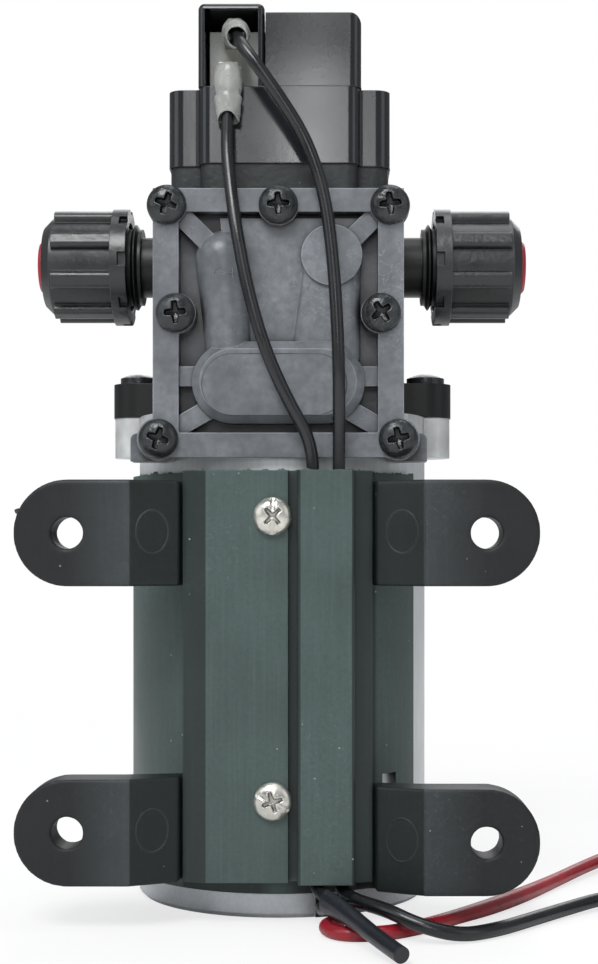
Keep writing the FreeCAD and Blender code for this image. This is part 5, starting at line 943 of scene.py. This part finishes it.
def finish(name, colour, rough, metal=0.0, mottle=0.12, mottle_mm=6.0, fine=0.2, fine_mm=0.35, bump=0.1, edge=1.3,
           round_mm=0.25, grime=0.35, grime_mm=4.0, dust=0.0, stretch=(1, 1, 1), streaks=0.0, scuffs=0.0,
           rough_drift=0.07, through=0.0, shine=0.5, bend=0.0, flank=1.0, waves=0.0, waves_mm=9.0, dust_mm=2.1,
           dust_share=0.09, ring=None):
    """A finish with drifting tone, fine grain, edges painted paler for wear and as a painted highlight, hollows
    painted darker for grime and as painted shade, streaks, scuffs and dust.
    """
    material = bpy.data.materials.new(name)
    material.use_nodes = True
    tree = material.node_tree
    link = tree.links.new
    shader = tree.nodes["Principled BSDF"]
    where = tree.nodes.new("ShaderNodeTexCoord").outputs["Object"]
    broad = grain(tree, where, mottle_mm, 3.0)
    small = grain(tree, where, fine_mm, 2.0, stretch)
    look = mixed(tree, spread(tree, broad, 0.3, 0.7), scaled(colour, 1 - mottle), scaled(colour, 1 + mottle))
    look = mixed(tree, spread(tree, small, 0.35, 0.75, 0.0, fine), look, scaled(colour, 0.45))
    if streaks:
        lines = grain(tree, where, 0.3, 3.0, (1, 1, 0.03))
        look = mixed(tree, spread(tree, lines, 0.45, 0.75, 0.0, streaks), look, scaled(colour, 1.7, 0.01))
    if scuffs:
        marks = grain(tree, where, 2.2, 4.0, (1, 1, 1), 2.5)
        thin = spread(tree, sum_of(tree, "ABSOLUTE", sum_of(tree, "SUBTRACT", marks, 0.52)), 0.012, 0.0)
        patches = grain(tree, where, 16.0, 1.0)
        look = mixed(tree, sum_of(tree, "MULTIPLY", sum_of(tree, "MULTIPLY", thin, spread(tree, patches, 0.5, 0.62)),
                                  scuffs), look, scaled(colour, 2.4, 0.015))
    if bend:
        # Painted shade on a foot: palest beside the bend, darker towards the tip, and darkest inside the bend.
        across = sum_of(tree, "ABSOLUTE", apart(tree, where, 0))
        tip = spread(tree, across, bend * MM, (bend + 10) * MM)
        look = mixed(tree, tip, look, TIP_SHADE_TONE, "MULTIPLY")
        look = mixed(tree, spread(tree, across, bend * MM, (bend - 0.15) * MM), look, BEND_SHADE_TONE, "MULTIPLY")
    if ring:
        # A fine dark line, the painted shadow of a groove round a face with round ends: its centre, half length
        # and radius, in millimetres.
        middle_x, middle_z, half_length, radius = (value * MM for value in ring)
        along = sum_of(tree, "ABSOLUTE", sum_of(tree, "SUBTRACT", apart(tree, where, 0), middle_x))
        beyond = sum_of(tree, "MAXIMUM", sum_of(tree, "SUBTRACT", along, half_length), 0.0)
        up = sum_of(tree, "SUBTRACT", apart(tree, where, 2), middle_z)
        far = sum_of(tree, "POWER", sum_of(tree, "ADD", sum_of(tree, "MULTIPLY", beyond, beyond),
                                           sum_of(tree, "MULTIPLY", up, up)), 0.5)
        off = sum_of(tree, "ABSOLUTE", sum_of(tree, "SUBTRACT", far, radius))
        line = sum_of(tree, "MULTIPLY", spread(tree, off, 0.14 * MM, 0.05 * MM), spread(tree, broad, 0.3, 0.6, 0.3, 1))
        look = mixed(tree, line, look, scaled(colour, 0.25))
    if flank != 1:
        # Painted shade: the bevels of the rail turn aside from the light, so they are painted darker.
        turned_away = tree.nodes.new("ShaderNodeTexCoord").outputs["Normal"]
        aside = sum_of(tree, "ABSOLUTE", apart(tree, turned_away, 0))
        near = sum_of(tree, "ABSOLUTE", apart(tree, where, 0))
        shaded_bevels = sum_of(tree, "MULTIPLY", spread(tree, aside, 0.03, 0.12), spread(tree, near, 17 * MM, 16.5 * MM))
        look = mixed(tree, shaded_bevels, look, scaled((1, 1, 1), flank), "MULTIPLY")
    bevel = node_of(tree, "ShaderNodeBevel", Radius=round_mm * MM)
    bevel.samples = 4
    true_normal = tree.nodes.new("ShaderNodeNewGeometry").outputs["Normal"]
    same = tree.nodes.new("ShaderNodeVectorMath")
    same.operation = "DOT_PRODUCT"
    link(bevel.outputs[0], same.inputs[0])
    link(true_normal, same.inputs[1])
    edges = spread(tree, same.outputs["Value"], 1.0, 0.86)
    # Painted highlight and wear: the edges that the Bevel node finds are painted paler, unevenly along them.
    edge_wear_and_highlight = sum_of(tree, "MULTIPLY", edges, spread(tree, broad, 0.3, 0.65, 0.3, 1))
    look = mixed(tree, edge_wear_and_highlight, look, scaled(colour, 1 + edge, 0.008 * edge))
    # Painted shade and grime: the hollows that the Ambient Occlusion node finds are painted darker.
    if grime:
        hollow = node_of(tree, "ShaderNodeAmbientOcclusion", Distance=grime_mm * MM)
        hollow.only_local = True
        hollow.samples = 6
        look = mixed(tree, spread(tree, hollow.outputs["AO"], 0.45, 0.92), scaled(colour, 1 - grime), look)
    if dust:
        settled = sum_of(tree, "MULTIPLY", specks(tree, where, dust_mm, dust_share, 0.09), dust)
        look = mixed(tree, settled, look, DUST_COLOUR)
    link(look, shader.inputs["Base Color"])
    link(spread(tree, broad, 0.3, 0.7, rough - rough_drift, rough + rough_drift), shader.inputs["Roughness"])
    shader.inputs["Metallic"].default_value = metal
    shader.inputs["Transmission Weight"].default_value = through
    shader.inputs["Specular IOR Level"].default_value = shine
    raised = node_of(tree, "ShaderNodeBump", Strength=bump, Distance=GRAIN_RISE)
    link(sum_of(tree, "ADD", small, sum_of(tree, "MULTIPLY", broad, 1.5)), raised.inputs["Height"])
    link(bevel.outputs[0], raised.inputs["Normal"])
    if waves:
        # Upright sink marks of the mould, which break up what a glossy wall mirrors.
        sunk = node_of(tree, "ShaderNodeBump", Strength=waves, Distance=WAVE_RISE)
        link(grain(tree, where, waves_mm, 0.0, (1, 0.3, 0.06)), sunk.inputs["Height"])
        link(bevel.outputs[0], sunk.inputs["Normal"])
        link(sunk.outputs[0], raised.inputs["Normal"])
    link(raised.outputs[0], shader.inputs["Normal"])
    return material


# %% [markdown]
# ### Dressing
#
# Each piece wears one finish, and pieces of one make share it. One call makes a finish and names its wearers.

# %% A helper for dressing
def dress(name, colour, rough, *wearers, **settings):
    """Makes a finish and gives it to pieces made by hand or to the pump's own solids."""
    material = finish(name, shade(*colour), rough, **settings)
    for wearer in wearers:
        piece = NODES[wearer] if wearer in NODES else bpy.data.objects[wearer]
        if not piece.material_slots:
            piece.data.materials.append(material)
        for each in piece.material_slots:
            each.material = material


# %% [markdown]
# Most of the pump is black or grey plastic of different gloss, and the rail and the feet are scuffed and dusty.
# Each colour was found by setting a render beside the photo, so it holds for these lamps.

# %% Dress plastic and rubber
dress("cover_plastic", (102, 106, 111), 0.38, "flow_arrow", "front_cover", "rear_cover", "valve_plates", "yoke",
      mottle=0.34, mottle_mm=4, fine=0.5, fine_mm=0.7, edge=1.9, bump=0.25, grime=0.85, grime_mm=2.6, scuffs=0.5,
      round_mm=0.3, ring=(-0.65, 91.25, 7.1, 5.2))
dress("body_plastic", (16, 17, 18), 0.4, "pump_body", mottle=0.15, bump=0.12, grime=0.7, shine=0.35, edge=3)
dress("switch_plastic", (30, 33, 36), 0.12, "switch_housing", "switch_cap", "terminal_shroud", "spring_seat",
      "switch_piston", mottle=0.2, mottle_mm=9, fine_mm=0.5, edge=2.0, bump=0.02, grime=0.8, grime_mm=2.0, scuffs=0.1,
      dust=0.15, waves=0.5, waves_mm=18, rough_drift=0.03)
dress("base_layer", (44, 48, 50), 0.5, "switch_base", mottle=0.35, mottle_mm=2.0, fine=0.6, fine_mm=0.5, edge=1.6,
      bump=0.5, grime=0.8, grime_mm=2.0, dust=0.5, dust_mm=1.2, dust_share=0.12, shine=0.35)
dress("nut_plastic", (26, 28, 30), 0.33, "left_union_nut", "right_union_nut", mottle=0.25, mottle_mm=3, bump=0.25,
      edge=3.0, grime=0.85, grime_mm=1.6, fine_mm=0.5, shine=0.6)
dress("rail_plastic", (64, 79, 77), 0.4, "base_rail", "base_flash", mottle=0.12, mottle_mm=8, edge=0.5, bump=0.08,
      dust=0.6, streaks=0.16, fine=0.25, scuffs=0.25, grime=0.75, grime_mm=2.5, shine=0.35, flank=0.33)
dress("foot_rubber", (54, 59, 61), 0.5, "soft_foot_top_left", "soft_foot_bottom_left", mottle=0.16, edge=0.6,
      bump=0.14, dust=0.5, streaks=0.12, fine_mm=0.5, grime=0.5, grime_mm=2.0, scuffs=0.3, bend=24.4, shine=0.3)
dress("dusty_rubber", (52, 57, 59), 0.5, "soft_foot_top_right", "soft_foot_bottom_right", mottle=0.2, edge=0.6,
      bump=0.14, dust=0.75, dust_mm=1.5, dust_share=0.16, streaks=0.12, fine_mm=0.5, grime=0.5, grime_mm=2.0,
      scuffs=0.4, bend=24.4, shine=0.3)
dress("seal_rubber", (34, 35, 37), 0.6, "diaphragms", "umbrella_valves", "cover_seals", "switch_diaphragm",
      "lead_grommet", mottle=0.1)
print("materials:", len(bpy.data.materials))

# %% [markdown]
# The can is zinc plated and mirrors its room softly, the flange is cast aluminium with a coarse grain, and the
# screws are plated or blackened. A metal share below 1 keeps some colour of its own where nothing bright is near.

# %% Dress the metals
dress("can_zinc", (205, 208, 210), 0.4, "motor_can", metal=0.5, mottle=0.06, mottle_mm=12, bump=0.05,
      stretch=(1, 1, 0.1), edge=0.1, grime=0.4)
dress("cap_zinc", (196, 200, 204), 0.42, "motor_end_cap", metal=0.55, mottle=0.08, bump=0.06, edge=0.3, grime=0.4)
dress("flange_cast", (202, 204, 204), 0.44, "drive_flange", metal=0.55, mottle=0.12, mottle_mm=3, fine_mm=0.7,
      bump=0.25, edge=0.3, grime=0.6, grime_mm=3)
dress("bright_steel", (206, 205, 197), 0.28, "base_screw_heads", "motor_shaft", "motor_bearings", "crank_bearing",
      "brush_coil_springs", "switch_coil_spring", "eccentric", "piston_plates", metal=0.85, mottle=0.2, mottle_mm=1.6,
      bump=0.3, fine_mm=0.5, edge=0.2, grime=0.65, grime_mm=1.2, rough_drift=0.12)
dress("black_screw", (50, 53, 55), 0.28, "cover_screw_heads", "flange_screws", metal=0.4, mottle=0.3, mottle_mm=1.2,
      edge=3.0, bump=0.5, fine_mm=0.4, grime=0.95, grime_mm=1.3, rough_drift=0.12, scuffs=0.8)
dress("core_steel", (90, 90, 92), 0.5, "armature_core", "field_magnets", metal=0.8)
dress("copper", (184, 115, 70), 0.35, "armature_windings", "commutator", metal=1.0, fine_mm=0.5, stretch=(1, 1, 0.2))
dress("tinned", (176, 172, 160), 0.3, "switch_terminals", metal=1.0)
print("materials:", len(bpy.data.materials))

# %% [markdown]
# What is left: the motor's carbon and resin, red plugs, the grey microswitch, milky vinyl that lets half of
# the light through, and the insulation of the leads, whose edges are painted neither paler for wear nor with a
# highlight.

# %% Dress the small pieces and the leads
dress("carbon", (50, 50, 52), 0.6, "brushes")
dress("phenolic", (112, 88, 60), 0.5, "brush_holder")
dress("plug_red", (150, 32, 42), 0.4, "left_dust_plug", "right_dust_plug", mottle=0.1, edge=0.4)
dress("grey_plastic", (192, 194, 190), 0.42, "microswitch_body", "microswitch_button", mottle=0.1, edge=0.1,
      grime=0.3, dust=0.2)
dress("milky_vinyl", (196, 199, 195), 0.28, "vinyl_sleeves", mottle=0.14, mottle_mm=2, edge=0.3, grime=0.6,
      grime_mm=1.5, through=0.5, bump=0.2)
dress("wire_black", (22, 24, 27), 0.27, "duct_leads", "brush_leads", "supply_lead", "upper_switch_lead",
      "lower_switch_lead", "splice_tail_lead", "splice_black_lead", mottle=0.2, mottle_mm=3, bump=0.06, edge=0,
      grime=0)
dress("sleeve_black", (26, 29, 37), 0.36, "closed_end_sleeve", mottle=0.2, mottle_mm=3, bump=0.08, edge=0, grime=0)
dress("wire_red", (142, 22, 36), 0.33, "motor_lead", mottle=0.25, mottle_mm=2, bump=0.1, edge=0, grime=0, scuffs=0.35,
      fine=0.35)
dress("tie_nylon", (40, 40, 42), 0.4, "lead_ties")
print("materials:", len(bpy.data.materials))
